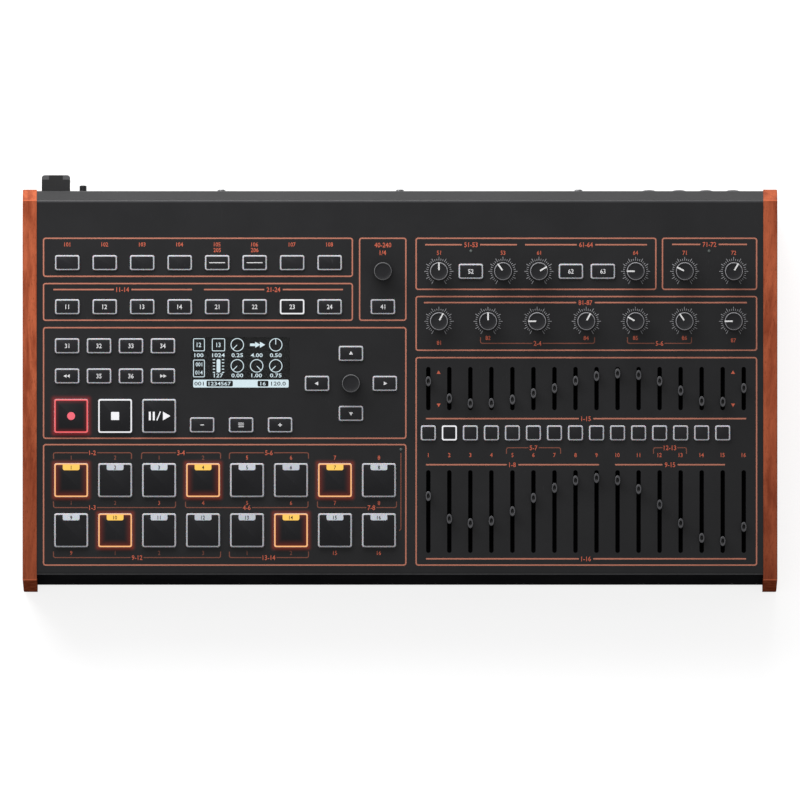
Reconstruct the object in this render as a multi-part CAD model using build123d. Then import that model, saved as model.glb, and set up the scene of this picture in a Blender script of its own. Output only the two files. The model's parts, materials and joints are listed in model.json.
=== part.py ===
from build123d import *
import os
from math import cos, radians, sin

# Desktop drum machine: a sloping sheet-metal control panel between two wooden cheeks, on a metal
# base with rubber feet. Every knob, slider and button is a piece of its own on a moving axis.
#
# World frame: X to the right, Y to the rear, Z up, origin under the middle of the whole machine.
# Panel frame: u to the right from the middle, v up the slope from the front fold, w out of the panel.

# ---------------------------------------------------------------- case, millimetres and degrees
TILT = 9.0                # slope of the control panel
PANEL_WIDTH = 479.6
PANEL_LENGTH = 246.9      # front fold to rear crest, along the slope
FRONT_HEIGHT = 45.4       # front face, base underside to front fold
REAR_BEVEL = 7.7          # the 45 degree bevel behind the crest, along Y and along Z
SHEET = 1.5               # thickness of all sheet metal
FOLD_RADIUS = 2.0         # outside radius of a fold
RETURN_FLANGE = 14.0      # inward flange along the foot of the front face
REAR_FLANGE = 14.0        # upturned flange along the floor's rear edge
REAR_LAP = 7.5            # how far the panel reaches down inside the rear wall
REAR_SEAM_DROP = 3.0      # seam below the bevel
END_FLANGE = 28.0         # height of the base's side flanges
FOOT_HEIGHT = 8.6
CUT_PAST = 1.5            # how far a through cut runs past the material

# Columns and rows are places on the layout grid. Columns count from the panel's middle and rows from
# the front fold, and the grid follows the panel's width and length: a step is 1.00 mm at these sizes.
EDGE_MARGIN = 5.3         # columns from the outer studs to the panel's end
CREST_MARGIN = 19.0       # rows from the rear studs to the rear crest

CHEEK_THICKNESS = 9.3
CHEEK_PROUD = 0.8         # cheek above the panel
CHEEK_AHEAD = 3.6         # cheek past the front fold, along the slope
CHEEK_BEHIND = 0.9        # cheek past the rear face
CHEEK_DROP = 7.1          # cheek below the base
CHEEK_EDGE = 0.8          # rounding of the cheek's outer edges

HOOK_REACH = 11.7         # cord hook past the rear face

# ---------------------------------------------------------------- stack under the panel, along w
BOARD_DEPTH = 9.0         # panel surface to the control board's upper face
BOARD_THICKNESS = 1.6
BOARD_SIDE_GAP = 0.5      # board to the base's side flanges
BOARD_FRONT = 4.5         # board's front edge, along v
BOARD_REAR_GAP = 12.9     # rear crest to the board's rear edge, along v

RUNNING = 0.05            # radial clearance of a turning shaft
SLIDING = 0.3             # clearance round a button in its hole, and of a lever in its slot
SEAT_GAP = 0.3            # button flange to the underside of the panel at rest
STOP_GAP = 0.2            # left under a plunger when it is pressed home
SCREW_FIT = 0.1           # radial clearance of a screw in its hole

# ---------------------------------------------------------------- buttons
KEY_WIDTH = 16.1
KEY_LENGTH = 9.9
KEY_CORNER = 1.3
KEY_PROUD = 1.8
KEY_CROWN = 0.5           # rounding of the top edges
KEY_LIP = 1.2             # flange that holds the button under the panel
KEY_FLANGE = 1.0
KEY_TRAVEL = 0.8
KEY_STEM = 3.4            # side of the plunger
SWITCH_SIDE = 6.2
SWITCH_HEIGHT = 3.4

PAD_SIDE = 22.4
PAD_CORNER = 1.4
PAD_PROUD = 2.6
PAD_CROWN = 0.8
PAD_TRAVEL = 1.0
PAD_STEM = 12.0
SENSOR_SIDE = 14.0

VOICE_SIDE = 9.9

KEY_COLUMN = -219.8       # first column of the two eight-button rows
KEY_PITCH = 24.76
FUNCTION_ROW = 205.9
EDIT_ROW = 176.8
ROW_COUNT = 8

BANK_COLUMN = -219.9      # four by two bank left of the display
BANK_PITCH = 21.1
BANK_ROWS = (151.0, 131.1)
BANK_COUNT = 4

PAD_COLUMN = -217.2
PAD_PITCH = 29.04
PAD_ROWS = (62.3, 29.2)
PADS_PER_ROW = 8
TRANSPORT_ROW = 104.7
TRANSPORT_COUNT = 3

MENU_COLUMN = -130.7
MENU_PITCH = 25.75
MENU_ROW = 98.8
MENU_COUNT = 3

TEMPO_COLUMN = -11.3
DATA_CENTRE = (-32.4, 126.2)
ARROW_ASIDE = 22.4        # columns from the data wheel to the arrow buttons beside it
ARROW_ABOVE = 19.8        # rows from it to the arrow buttons above and below

VOICE_ROW = 93.5
VOICE_COUNT = 15
SEND_COLUMN = 46.8
FILTER_COLUMN = 112.9     # the two filter buttons, one bank pitch apart

# ---------------------------------------------------------------- rotary controls
KNOB_RADIUS = 6.25
KNOB_TOP_RADIUS = 6.0
KNOB_HEIGHT = 12.5
KNOB_CROWN = 0.5
KNOB_LIFT = 1.0           # knob above the panel
POINTER_WIDTH = 1.1
POINTER_DEPTH = 0.3
POINTER_START = 0.6       # from the knob's axis
SHAFT_RADIUS = 3.0
SHAFT_GRIP = 8.0          # shaft inside the knob
SHAFT_HOLE_GAP = 0.6      # shaft to its hole in the panel
POT_SIDE = 10.4
POT_HEIGHT = 5.8
POT_BORE_DEPTH = 4.0
POT_SHAFT_DEPTH = 3.7

UPPER_KNOB_ROW = 200.2
UPPER_KNOB_COLUMNS = (25.7, 68.0, 91.8, 155.6, 188.0, 220.4)
UPPER_KNOB_TURNS = (0.0, -35.0, 60.0, -90.0, -62.0, 30.0)    # clockwise from straight up
TUNE_KNOB_ROW = 167.2
TUNE_KNOB_COLUMN = 25.7
TUNE_KNOB_PITCH = 32.43
TUNE_KNOB_TURNS = (28.0, 0.0, -90.0, 28.0, -60.0, -33.0, -90.0)

# ---------------------------------------------------------------- slide controls
FADER_COLUMN = 18.7
FADER_PITCH = 13.89
SLOT_WIDTH = 2.9
LEVER_WIDTH = 1.2
LEVER_LENGTH = 3.0
CAP_WIDTH = 3.8
CAP_LENGTH = 6.8
CAP_HEIGHT = 5.2
CAP_LIFT = 0.8            # cap above the panel
CAP_CROWN = 0.5
CAP_DISH = 0.5            # depth of the finger dish
DISH_RIM = 0.75           # rim left round the dish
LEVER_GRIP = 3.2          # lever inside the cap
SLIDER_BODY_WIDTH = 9.0
SLIDER_BODY_HEIGHT = 5.4
SLIDER_BODY_PAST = 4.0    # slide body past each end of its panel slot
TRACK_PAST = 0.6          # track past the lever at each end of its travel
LEVER_DEPTH = 2.2         # lever inside the slide body
TRACK_DEPTH = 2.8

LEVEL_ROW = 41.6
LEVEL_TRAVEL = 45.0
LEVEL_SLOT = 54.6
LEVEL_SETTINGS = (10.2, -4.8, -7.7, -6.1, 0.2, 9.0, 15.6, 20.5,
                  22.1, 20.6, 14.8, 4.6, -7.7, -17.4, -19.5, -10.1)
PAN_ROW = 122.8
PAN_TRAVEL = 20.0
PAN_SLOT = 28.6
PAN_SETTINGS = (4.8, -6.5, -9.8, -9.6, -7.3, -3.1, 0.2, 5.1,
                8.2, 9.9, 8.9, 4.9, -1.4, -8.3, -8.8, 0.3)
# pan sliders that stand near the same setting share a node: these settings part one group from the next
PAN_GROUP_EDGES = (-5.0, 2.0, 7.0)
PAN_GROUP_NAMES = (
    "pan_sliders_far_left",
    "pan_sliders_centre",
    "pan_sliders_right",
    "pan_sliders_far_right",
)

# ---------------------------------------------------------------- display and lamps
WINDOW_WIDTH = 64.5
WINDOW_LENGTH = 33.3
WINDOW_CORNER = 0.8
WINDOW_CENTRE = (-105.3, 139.9)
WINDOW_FIT = 0.1          # window in its cut-out
WINDOW_SUNK = 0.3         # window below the panel surface
WINDOW_FLANGE = 3.0
WINDOW_FLANGE_THICKNESS = 0.8
MODULE_PAST = 3.5         # display module past the window

LAMP_RADIUS = 1.0
LAMP_PROUD = 0.4
LAMP_FIT = 0.1
LAMP_CROWN = 0.5
LAMP_BASE_RADIUS = 1.5
LAMP_SHOULDER = 1.5       # lamp's shoulder below the panel's underside
LAMPS = ((46.8, 213.6), (204.2, 213.6), (0.6, 82.6))

# ---------------------------------------------------------------- rear wall
SOCKET_DROP = 8.4         # centre line of all sockets below the panel's rear lap
MAIN_BOARD_DEPTH = 62.0
MAIN_BOARD_GAP = 1.0      # main board to the rear wall
MAIN_BOARD_MARGIN = 6.0   # main board to the side flanges
CHIP_INSET = 20.7         # middle of the chips from the main board's front edge
CHIPS = ((-90.0, 20.0), (-40.0, 14.0), (20.0, 14.0), (90.0, 10.0), (130.0, 10.0))    # column and side
CHIP_HEIGHT = 1.6
CAPACITOR_COLUMNS = (-180.0, -165.0, -150.0)
CAPACITOR_RADIUS = 4.0
CAPACITOR_HEIGHT = 7.0

JACK_COLUMNS = (164.7, 184.6, 202.4, 220.2)
JACK_BORE = 3.2
JACK_BUSH = 4.5
JACK_BUSH_PROUD = 2.9
JACK_BODY = (15.4, 22.0)  # across and along
JACK_BORE_LENGTH = 20.0
WASHER_RADIUS = 6.4
WASHER_THICKNESS = 0.5
NUT_ACROSS_FLATS = 11.0
NUT_THICKNESS = 2.0
NUT_CROWN = 0.6           # rounding of a small nut's outer edge
BUSH_FIT = 0.1            # nut and hole round a threaded bush

SMALL_JACK_COLUMN = 6.0   # first of the row
SMALL_JACK_PITCH = 17.0
SMALL_JACK_COUNT = 8
SYNC_JACK_COLUMN = -88.0  # first of the pair
SYNC_JACK_COUNT = 2
SMALL_JACK_BORE = 1.8
SMALL_JACK_BORE_LENGTH = 10.0
SMALL_JACK_NOSE = 3.0
SMALL_JACK_NUT = 4.2
SMALL_JACK_BODY = (9.0, 12.0)

DIN_COLUMNS = (-141.0, -115.0)
DIN_NOSE = 7.7
DIN_GROOVE_OUTER = 6.9
DIN_GROOVE_INNER = 5.9
DIN_GROOVE_DEPTH = 7.0
DIN_PIN_CIRCLE = 3.4
DIN_PIN_HOLE = 0.8
DIN_PINS = 5
DIN_BODY = (17.6, 14.0)

USB_COLUMN = -168.0
USB_SIZE = (12.0, 10.8)
USB_MOUTH = (8.6, 7.8)
USB_TONGUE = (5.6, 3.2)
USB_TONGUE_BACK = 3.0     # tongue's end behind the mouth's edge
USB_DEPTH = 9.0
USB_BODY_LENGTH = 16.0

INLET_COLUMN = -190.0
INLET_NOSE = 4.6
INLET_BORE = 3.1
INLET_PIN = 1.05
INLET_DEPTH = 9.0
INLET_BODY = (10.0, 13.0)

POWER_COLUMN = -209.7
POWER_RADIUS = 2.4
POWER_PROUD = 6.5
POWER_CROWN = 0.5
POWER_TRAVEL = 2.0
POWER_GUIDE = 5.0         # button inside its switch
POWER_SWITCH = (8.0, 15.0)
SOCKET_PROUD = 0.6        # moulded sockets past the rear wall

HOOK_COLUMN = -227.5
HOOK_WIDTH = 18.8
HOOK_WALL = 3.0
HOOK_HEIGHT = 22.0
HOOK_DROP = 3.9           # hook's top below the seam
HOOK_LIP = 12.0           # lip hanging from the arm's end
HOOK_CORNER = 2.0

# ---------------------------------------------------------------- feet and fasteners
FOOT_RADIUS = 9.0
FOOT_TAPER = 1.0
FOOT_RECESS_RADIUS = 4.5
FOOT_RECESS_DEPTH = 4.4
FOOT_INSET = (28.0, 24.0)   # foot centre from the panel's ends and from front and rear faces
FOOT_SCREW_LENGTH = 10.0
SCREW_RADIUS = 1.4
HEAD_RADIUS = 2.7
HEAD_HEIGHT = 1.8
HEAD_CROWN = 0.6
STUD_RADIUS = 2.5
STUD_COLUMNS = (-234.7, 7.25, 234.7)
STUD_ROWS = (16.0, 88.0, 158.0, 228.0)
STUD_SCREW_DEPTH = 5.0
PILLAR_RADIUS = 3.0
PILLAR_INSET = 5.0        # pillar centre from the main board's front edge
PILLAR_COLUMNS = (-200.0, -60.0, 60.0, 200.0)
PANEL_SCREW_COLUMNS = (-210.0, -105.0, 0.0, 105.0, 210.0)
REAR_SCREW_COLUMNS = (-118.0, 0.0, 118.0)
CHEEK_SCREW_INSET = 30.0  # outer cheek screws from the front and rear faces
CHEEK_SCREW_LENGTH = 6.0
SCREW_REACH = 4.0         # screw past the sheets it joins

# ================================================================ places worked out from the sizes
SLOPE = (cos(radians(TILT)), sin(radians(TILT)))
BASE_TOP = FOOT_HEIGHT + SHEET
FOLD_Z = FOOT_HEIGHT + FRONT_HEIGHT
CREST_RUN = PANEL_LENGTH * SLOPE[0]
CREST_Z = FOLD_Z + PANEL_LENGTH * SLOPE[1]
CHEEK_FRONT_RUN = -(CHEEK_AHEAD * SLOPE[0] + CHEEK_PROUD * SLOPE[1])
HOOK_END_RUN = CREST_RUN + REAR_BEVEL + HOOK_REACH
FRONT_Y = -(CHEEK_FRONT_RUN + HOOK_END_RUN) / 2
CREST_Y = FRONT_Y + CREST_RUN
REAR_Y = CREST_Y + REAR_BEVEL
BEVEL_Z = CREST_Z - REAR_BEVEL
SEAM_Z = BEVEL_Z - REAR_SEAM_DROP
SOCKET_HEIGHT = SEAM_Z - REAR_LAP - SOCKET_DROP
HOOK_TOP = SEAM_Z - HOOK_DROP
HALF_PANEL = PANEL_WIDTH / 2
EDGE_COLUMN = STUD_COLUMNS[-1] + EDGE_MARGIN
CREST_ROW = STUD_ROWS[-1] + CREST_MARGIN
BOARD_REAR = PANEL_LENGTH - BOARD_REAR_GAP
PANEL_PLACE = Location((0, FRONT_Y, FOLD_Z), (TILT, 0, 0))
WINDOW_TOP = -WINDOW_SUNK
MODULE_TOP = -SHEET - WINDOW_FLANGE_THICKNESS
MAIN_BOARD_TOP = SOCKET_HEIGHT - JACK_BODY[0] / 2
MAIN_BOARD_REAR = REAR_Y - SHEET - MAIN_BOARD_GAP
MAIN_BOARD_FRONT = MAIN_BOARD_REAR - MAIN_BOARD_DEPTH
KEY_SWITCH_TOP = -BOARD_DEPTH + SWITCH_HEIGHT
LAP_SCREW_Z = SEAM_Z - REAR_LAP / 2
FLANGE_SCREW_Z = BASE_TOP + REAR_FLANGE / 2


def columns(first, pitch, count):
    """Evenly spaced layout columns."""
    return [first + pitch * i for i in range(count)]


def across(column):
    """Where a layout column lies, along u."""
    return column * HALF_PANEL / EDGE_COLUMN


def along(row):
    """Where a layout row lies, along v."""
    return row * PANEL_LENGTH / CREST_ROW


def spots(first, pitch, count, row):
    """Evenly spaced places on the panel in one layout row."""
    return [(across(column), along(row)) for column in columns(first, pitch, count)]


def spot(column, row):
    """One place on the panel."""
    return across(column), along(row)


FADERS = [across(column) for column in columns(FADER_COLUMN, FADER_PITCH, len(LEVEL_SETTINGS))]
TUNE_KNOB_COLUMNS = columns(TUNE_KNOB_COLUMN, TUNE_KNOB_PITCH, len(TUNE_KNOB_TURNS))

KEYS = {
    "function_keys": spots(KEY_COLUMN, KEY_PITCH, ROW_COUNT, FUNCTION_ROW),
    "edit_keys": spots(KEY_COLUMN, KEY_PITCH, ROW_COUNT, EDIT_ROW),
    "parameter_keys": spots(BANK_COLUMN, BANK_PITCH, BANK_COUNT, BANK_ROWS[0])
    + spots(BANK_COLUMN, BANK_PITCH, BANK_COUNT, BANK_ROWS[1]),
    "cursor_keys": spots(MENU_COLUMN, MENU_PITCH, MENU_COUNT, MENU_ROW)
    + [spot(DATA_CENTRE[0] + side * ARROW_ASIDE, DATA_CENTRE[1]) for side in (-1, 1)]
    + [spot(DATA_CENTRE[0], DATA_CENTRE[1] + side * ARROW_ABOVE) for side in (-1, 1)],
    "section_keys": [
        spot(TEMPO_COLUMN, EDIT_ROW),
        spot(SEND_COLUMN, UPPER_KNOB_ROW),
        spot(FILTER_COLUMN, UPPER_KNOB_ROW),
        spot(FILTER_COLUMN + BANK_PITCH, UPPER_KNOB_ROW),
    ],
}
VOICE_KEYS = spots(FADER_COLUMN, FADER_PITCH, VOICE_COUNT, VOICE_ROW)
PADS = {
    "pads_1_to_8": spots(PAD_COLUMN, PAD_PITCH, PADS_PER_ROW, PAD_ROWS[0]),
    "pads_9_to_16": spots(PAD_COLUMN, PAD_PITCH, PADS_PER_ROW, PAD_ROWS[1]),
    "transport_keys": spots(PAD_COLUMN, PAD_PITCH, TRANSPORT_COUNT, TRANSPORT_ROW),
}
KNOBS = {}
for number, (column, turned) in enumerate(zip(UPPER_KNOB_COLUMNS, UPPER_KNOB_TURNS), 1):
    KNOBS[f"upper_knob_{number}"] = (*spot(column, UPPER_KNOB_ROW), turned)
for number, (column, turned) in enumerate(zip(TUNE_KNOB_COLUMNS, TUNE_KNOB_TURNS), 1):
    KNOBS[f"tune_knob_{number}"] = (*spot(column, TUNE_KNOB_ROW), turned)
ENCODERS = {"tempo_wheel": spot(TEMPO_COLUMN, UPPER_KNOB_ROW), "data_wheel": spot(*DATA_CENTRE)}
LEVEL_V, PAN_V = along(LEVEL_ROW), along(PAN_ROW)
LEVEL_PLACES = [(u, LEVEL_V + setting) for u, setting in zip(FADERS, LEVEL_SETTINGS)]
PAN_GROUPS = {name: [] for name in PAN_GROUP_NAMES}
for u, setting in zip(FADERS, PAN_SETTINGS):
    group = sum(setting > edge for edge in PAN_GROUP_EDGES)
    PAN_GROUPS[PAN_GROUP_NAMES[group]].append((u, setting))
STUDS = [spot(column, row) for column in STUD_COLUMNS for row in STUD_ROWS]
LAMP_PLACES = [spot(*lamp) for lamp in LAMPS]
WINDOW_PLACE = spot(*WINDOW_CENTRE)
JACKS = [across(column) for column in JACK_COLUMNS]
SMALL_JACKS = [
    across(column)
    for column in columns(SYNC_JACK_COLUMN, SMALL_JACK_PITCH, SYNC_JACK_COUNT)
    + columns(SMALL_JACK_COLUMN, SMALL_JACK_PITCH, SMALL_JACK_COUNT)
]
DIN_SOCKETS = [across(column) for column in DIN_COLUMNS]


# ================================================================ shapes used again and again
def block(x, y, z):
    """A box between two values along each axis."""
    return Pos(x[0], y[0], z[0]) * Box(
        x[1] - x[0], y[1] - y[0], z[1] - z[0], align=(Align.MIN, Align.MIN, Align.MIN)
    )


def post(radius, low, high):
    """A cylinder about the local Z axis between two heights."""
    return Pos(0, 0, low) * Cylinder(radius, high - low, align=(Align.CENTER, Align.CENTER, Align.MIN))


def slab(width, length, low, high):
    """A block centred on the local Z axis, between two heights."""
    return Pos(0, 0, low) * Box(width, length, high - low, align=(Align.CENTER, Align.CENTER, Align.MIN))


def tapered(low_radius, high_radius, height):
    """A cone's lower part, standing on zero."""
    return Cone(low_radius, high_radius, height, align=(Align.CENTER, Align.CENTER, Align.MIN))


def tile(width, length, corner, low, high):
    """A centred block with rounded corners, between two heights."""
    return Pos(0, 0, low) * extrude(RectangleRounded(width, length, corner), high - low)


def crowned(solid, radius):
    """The same solid with its top edges rounded."""
    return fillet(solid.edges().group_by(Axis.Z)[-1], radius)


def on_panel(shape, u, v, turn=0.0):
    """Place a shape, made about the panel's normal, at a point of the control panel."""
    return PANEL_PLACE * Location((u, v, 0), (0, 0, turn)) * shape


def on_rear(shape, x):
    """Place a shape, made about Z with Z pointing out, on the rear plate at socket height."""
    return Location((x, REAR_Y, SOCKET_HEIGHT), (-90, 0, 0)) * shape


def side_profile(points, thickness, start):
    """Extrude a closed outline of (y, z) points along X."""
    outline = make_face(Polyline(*points, close=True))
    return Pos(start, 0, 0) * extrude(Plane.YZ * outline, thickness)


# ================================================================ case
def panel_cutouts():
    """Every hole of the control panel, as one sketch in the panel frame."""
    holes = []
    gap = 2 * SLIDING
    for places in KEYS.values():
        hole = RectangleRounded(KEY_WIDTH + gap, KEY_LENGTH + gap, KEY_CORNER + SLIDING)
        holes += [Pos(u, v) * hole for u, v in places]
    hole = RectangleRounded(VOICE_SIDE + gap, VOICE_SIDE + gap, KEY_CORNER + SLIDING)
    holes += [Pos(u, v) * hole for u, v in VOICE_KEYS]
    hole = RectangleRounded(PAD_SIDE + gap, PAD_SIDE + gap, PAD_CORNER + SLIDING)
    for places in PADS.values():
        holes += [Pos(u, v) * hole for u, v in places]
    for u, v, _ in KNOBS.values():
        holes.append(Pos(u, v) * Circle(SHAFT_RADIUS + SHAFT_HOLE_GAP))
    for u, v in ENCODERS.values():
        holes.append(Pos(u, v) * Circle(SHAFT_RADIUS + SHAFT_HOLE_GAP))
    for u in FADERS:
        holes.append(Pos(u, LEVEL_V) * SlotOverall(LEVEL_SLOT, SLOT_WIDTH, rotation=90))
        holes.append(Pos(u, PAN_V) * SlotOverall(PAN_SLOT, SLOT_WIDTH, rotation=90))
    holes += [Pos(u, v) * Circle(LAMP_RADIUS + LAMP_FIT) for u, v in LAMP_PLACES]
    fit = 2 * WINDOW_FIT
    holes.append(
        Pos(*WINDOW_PLACE)
        * RectangleRounded(WINDOW_WIDTH + fit, WINDOW_LENGTH + fit, WINDOW_CORNER + WINDOW_FIT)
    )
    return Sketch() + holes


def rounded_outline(points, radii):
    """A closed (y, z) outline with its own radius at each corner, as a sketch on the YZ plane."""
    outline = make_face(Polyline(*points, close=True))
    for (y, z), radius in zip(points, radii):
        if radius:
            corner = outline.vertices().sort_by_distance((y, z, 0))[0]
            outline = fillet(corner, radius)
    return Plane.YZ * outline


def top_panel():
    """Front face, sloping panel, rear bevel and lap, folded from one sheet."""
    outside = [
        (FRONT_Y, BASE_TOP),
        (FRONT_Y, FOLD_Z),
        (CREST_Y, CREST_Z),
        (REAR_Y, BEVEL_Z),
        (REAR_Y, BASE_TOP),
    ]
    outer = rounded_outline(outside, (0, FOLD_RADIUS, FOLD_RADIUS, FOLD_RADIUS, 0))
    sharp = make_face(Polyline(*outside, close=True))
    inside = offset(sharp, -SHEET, kind=Kind.INTERSECTION)
    for y, z in outside[1:4]:
        corner = inside.vertices().sort_by_distance((y, z, 0))[0]
        inside = fillet(corner, FOLD_RADIUS - SHEET)
    shell = extrude(outer, HALF_PANEL, both=True)
    shell -= extrude(Plane.YZ * inside, HALF_PANEL, both=True)
    width = (-HALF_PANEL, HALF_PANEL)
    shell -= block(width, (FRONT_Y + RETURN_FLANGE, REAR_Y), (BASE_TOP, BASE_TOP + SHEET))
    shell -= block(width, (REAR_Y - SHEET, REAR_Y), (BASE_TOP, SEAM_Z))
    shell += block(width, (REAR_Y - 2 * SHEET, REAR_Y - SHEET), (SEAM_Z - REAR_LAP, SEAM_Z + SHEET))
    shell -= extrude(PANEL_PLACE * panel_cutouts(), SHEET + CUT_PAST, both=True)
    for place in panel_screw_places():
        shell -= place * post(SCREW_RADIUS + SCREW_FIT, 0, 2 * SHEET + CUT_PAST)
    for place in rear_screw_places(LAP_SCREW_Z):
        shell -= place * post(SCREW_RADIUS + SCREW_FIT, -2 * SHEET - CUT_PAST, CUT_PAST)
    return shell


def panel_screw_places():
    """Where screws hold the front flange to the floor, from the floor's underside."""
    y = FRONT_Y + (SHEET + RETURN_FLANGE) / 2
    return [Pos(across(column), y, FOOT_HEIGHT) for column in PANEL_SCREW_COLUMNS]


def rear_screw_places(z):
    """Where one row of screws holds the rear plate, with Z out of it."""
    return [Location((across(column), REAR_Y, z), (-90, 0, 0)) for column in REAR_SCREW_COLUMNS]


def rear_cutouts():
    """Every socket's hole in the rear plate, as solids through it."""
    through = (-SHEET - CUT_PAST, CUT_PAST)
    holes = [on_rear(post(JACK_BUSH + BUSH_FIT, *through), x) for x in JACKS]
    holes += [on_rear(post(SMALL_JACK_NOSE + BUSH_FIT, *through), x) for x in SMALL_JACKS]
    holes += [on_rear(post(DIN_NOSE + BUSH_FIT, *through), x) for x in DIN_SOCKETS]
    width, height = (side + 2 * BUSH_FIT for side in USB_SIZE)
    holes.append(on_rear(slab(width, height, *through), across(USB_COLUMN)))
    holes.append(on_rear(post(INLET_NOSE + BUSH_FIT, *through), across(INLET_COLUMN)))
    holes.append(on_rear(post(POWER_RADIUS + SLIDING, *through), across(POWER_COLUMN)))
    return holes


def foot_places():
    """Centres of the four feet."""
    x = HALF_PANEL - FOOT_INSET[0]
    front, rear = FRONT_Y + FOOT_INSET[1], REAR_Y - FOOT_INSET[1]
    return [(side * x, y) for side in (-1, 1) for y in (front, rear)]


def cheek_screw_places():
    """Height and depth of the screws that hold each cheek."""
    z = BASE_TOP + END_FLANGE / 2
    front, rear = FRONT_Y + CHEEK_SCREW_INSET, REAR_Y - CHEEK_SCREW_INSET
    return [(y, z) for y in (front, (front + rear) / 2, rear)]


def floor_pan():
    """Floor with its upturned side and rear flanges, folded from one sheet."""
    width = (-HALF_PANEL, HALF_PANEL)
    rear = REAR_Y - SHEET
    pan = block(width, (FRONT_Y, rear), (FOOT_HEIGHT, BASE_TOP))
    pan += block(width, (rear - SHEET, rear), (FOOT_HEIGHT, BASE_TOP + REAR_FLANGE))
    hole = post(SCREW_RADIUS + SCREW_FIT, -SHEET - CUT_PAST, CUT_PAST)
    for side in (-1, 1):
        span = tuple(sorted((side * (HALF_PANEL - SHEET), side * HALF_PANEL)))
        pan += block(span, (FRONT_Y + RETURN_FLANGE, rear), (FOOT_HEIGHT, BASE_TOP + END_FLANGE))
        for y, z in cheek_screw_places():
            pan -= Location((side * HALF_PANEL, y, z), (0, 90 * side, 0)) * hole
    upright = post(SCREW_RADIUS + SCREW_FIT, -CUT_PAST, SHEET + CUT_PAST)
    places = [Pos(x, y, FOOT_HEIGHT) for x, y in foot_places() + pillar_places()]
    for place in places + panel_screw_places():
        pan -= place * upright
    for place in rear_screw_places(FLANGE_SCREW_Z):
        pan -= place * post(SCREW_RADIUS + SCREW_FIT, -2 * SHEET - CUT_PAST, CUT_PAST)
    return pan


def rear_plate():
    """Flat plate that carries the sockets."""
    plate = block((-HALF_PANEL, HALF_PANEL), (REAR_Y - SHEET, REAR_Y), (FOOT_HEIGHT, SEAM_Z))
    for place in rear_screw_places(LAP_SCREW_Z) + rear_screw_places(FLANGE_SCREW_Z):
        plate -= place * post(SCREW_RADIUS + SCREW_FIT, -SHEET - CUT_PAST, CUT_PAST)
    for hole in rear_cutouts():
        plate -= hole
    return plate


def cheek(side):
    """One wooden end cheek, side -1 for the left and 1 for the right."""
    normal = (-SLOPE[1], SLOPE[0])
    front = (
        FRONT_Y - CHEEK_AHEAD * SLOPE[0] + CHEEK_PROUD * normal[0],
        FOLD_Z - CHEEK_AHEAD * SLOPE[1] + CHEEK_PROUD * normal[1],
    )
    crest = (CREST_Y + CHEEK_PROUD * normal[0], CREST_Z + CHEEK_PROUD * normal[1])
    rear_y = REAR_Y + CHEEK_BEHIND
    foot = FOOT_HEIGHT - CHEEK_DROP
    corners = [(front[0], foot), front, crest, (rear_y, crest[1] - (rear_y - crest[0])), (rear_y, foot)]
    start = HALF_PANEL if side > 0 else -HALF_PANEL - CHEEK_THICKNESS
    board = side_profile(corners, CHEEK_THICKNESS, start)
    outer = board.faces().sort_by(Axis.X)[-1 if side > 0 else 0]
    board = fillet(outer.edges(), CHEEK_EDGE)
    for y, z in cheek_screw_places():
        hole = post(SCREW_RADIUS + SCREW_FIT, 0, CHEEK_SCREW_LENGTH)
        board -= Location((side * HALF_PANEL, y, z), (0, 90 * side, 0)) * hole
    return board


def rubber_feet():
    """Four tapered feet, each with a recess for its screw head."""
    foot = tapered(FOOT_RADIUS - FOOT_TAPER, FOOT_RADIUS, FOOT_HEIGHT)
    foot -= post(FOOT_RECESS_RADIUS, 0, FOOT_RECESS_DEPTH)
    foot -= post(SCREW_RADIUS + SCREW_FIT, FOOT_RECESS_DEPTH, FOOT_HEIGHT)
    return [Pos(x, y, 0) * foot for x, y in foot_places()]


# ================================================================ fasteners
def screw(length):
    """Pan-head screw pointing along +Z, with its head below zero."""
    return crowned_below(post(HEAD_RADIUS, -HEAD_HEIGHT, 0)) + post(SCREW_RADIUS, 0, length)


def crowned_below(solid):
    """The same solid with its lowest edges rounded."""
    return fillet(solid.edges().group_by(Axis.Z)[0], HEAD_CROWN)


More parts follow.
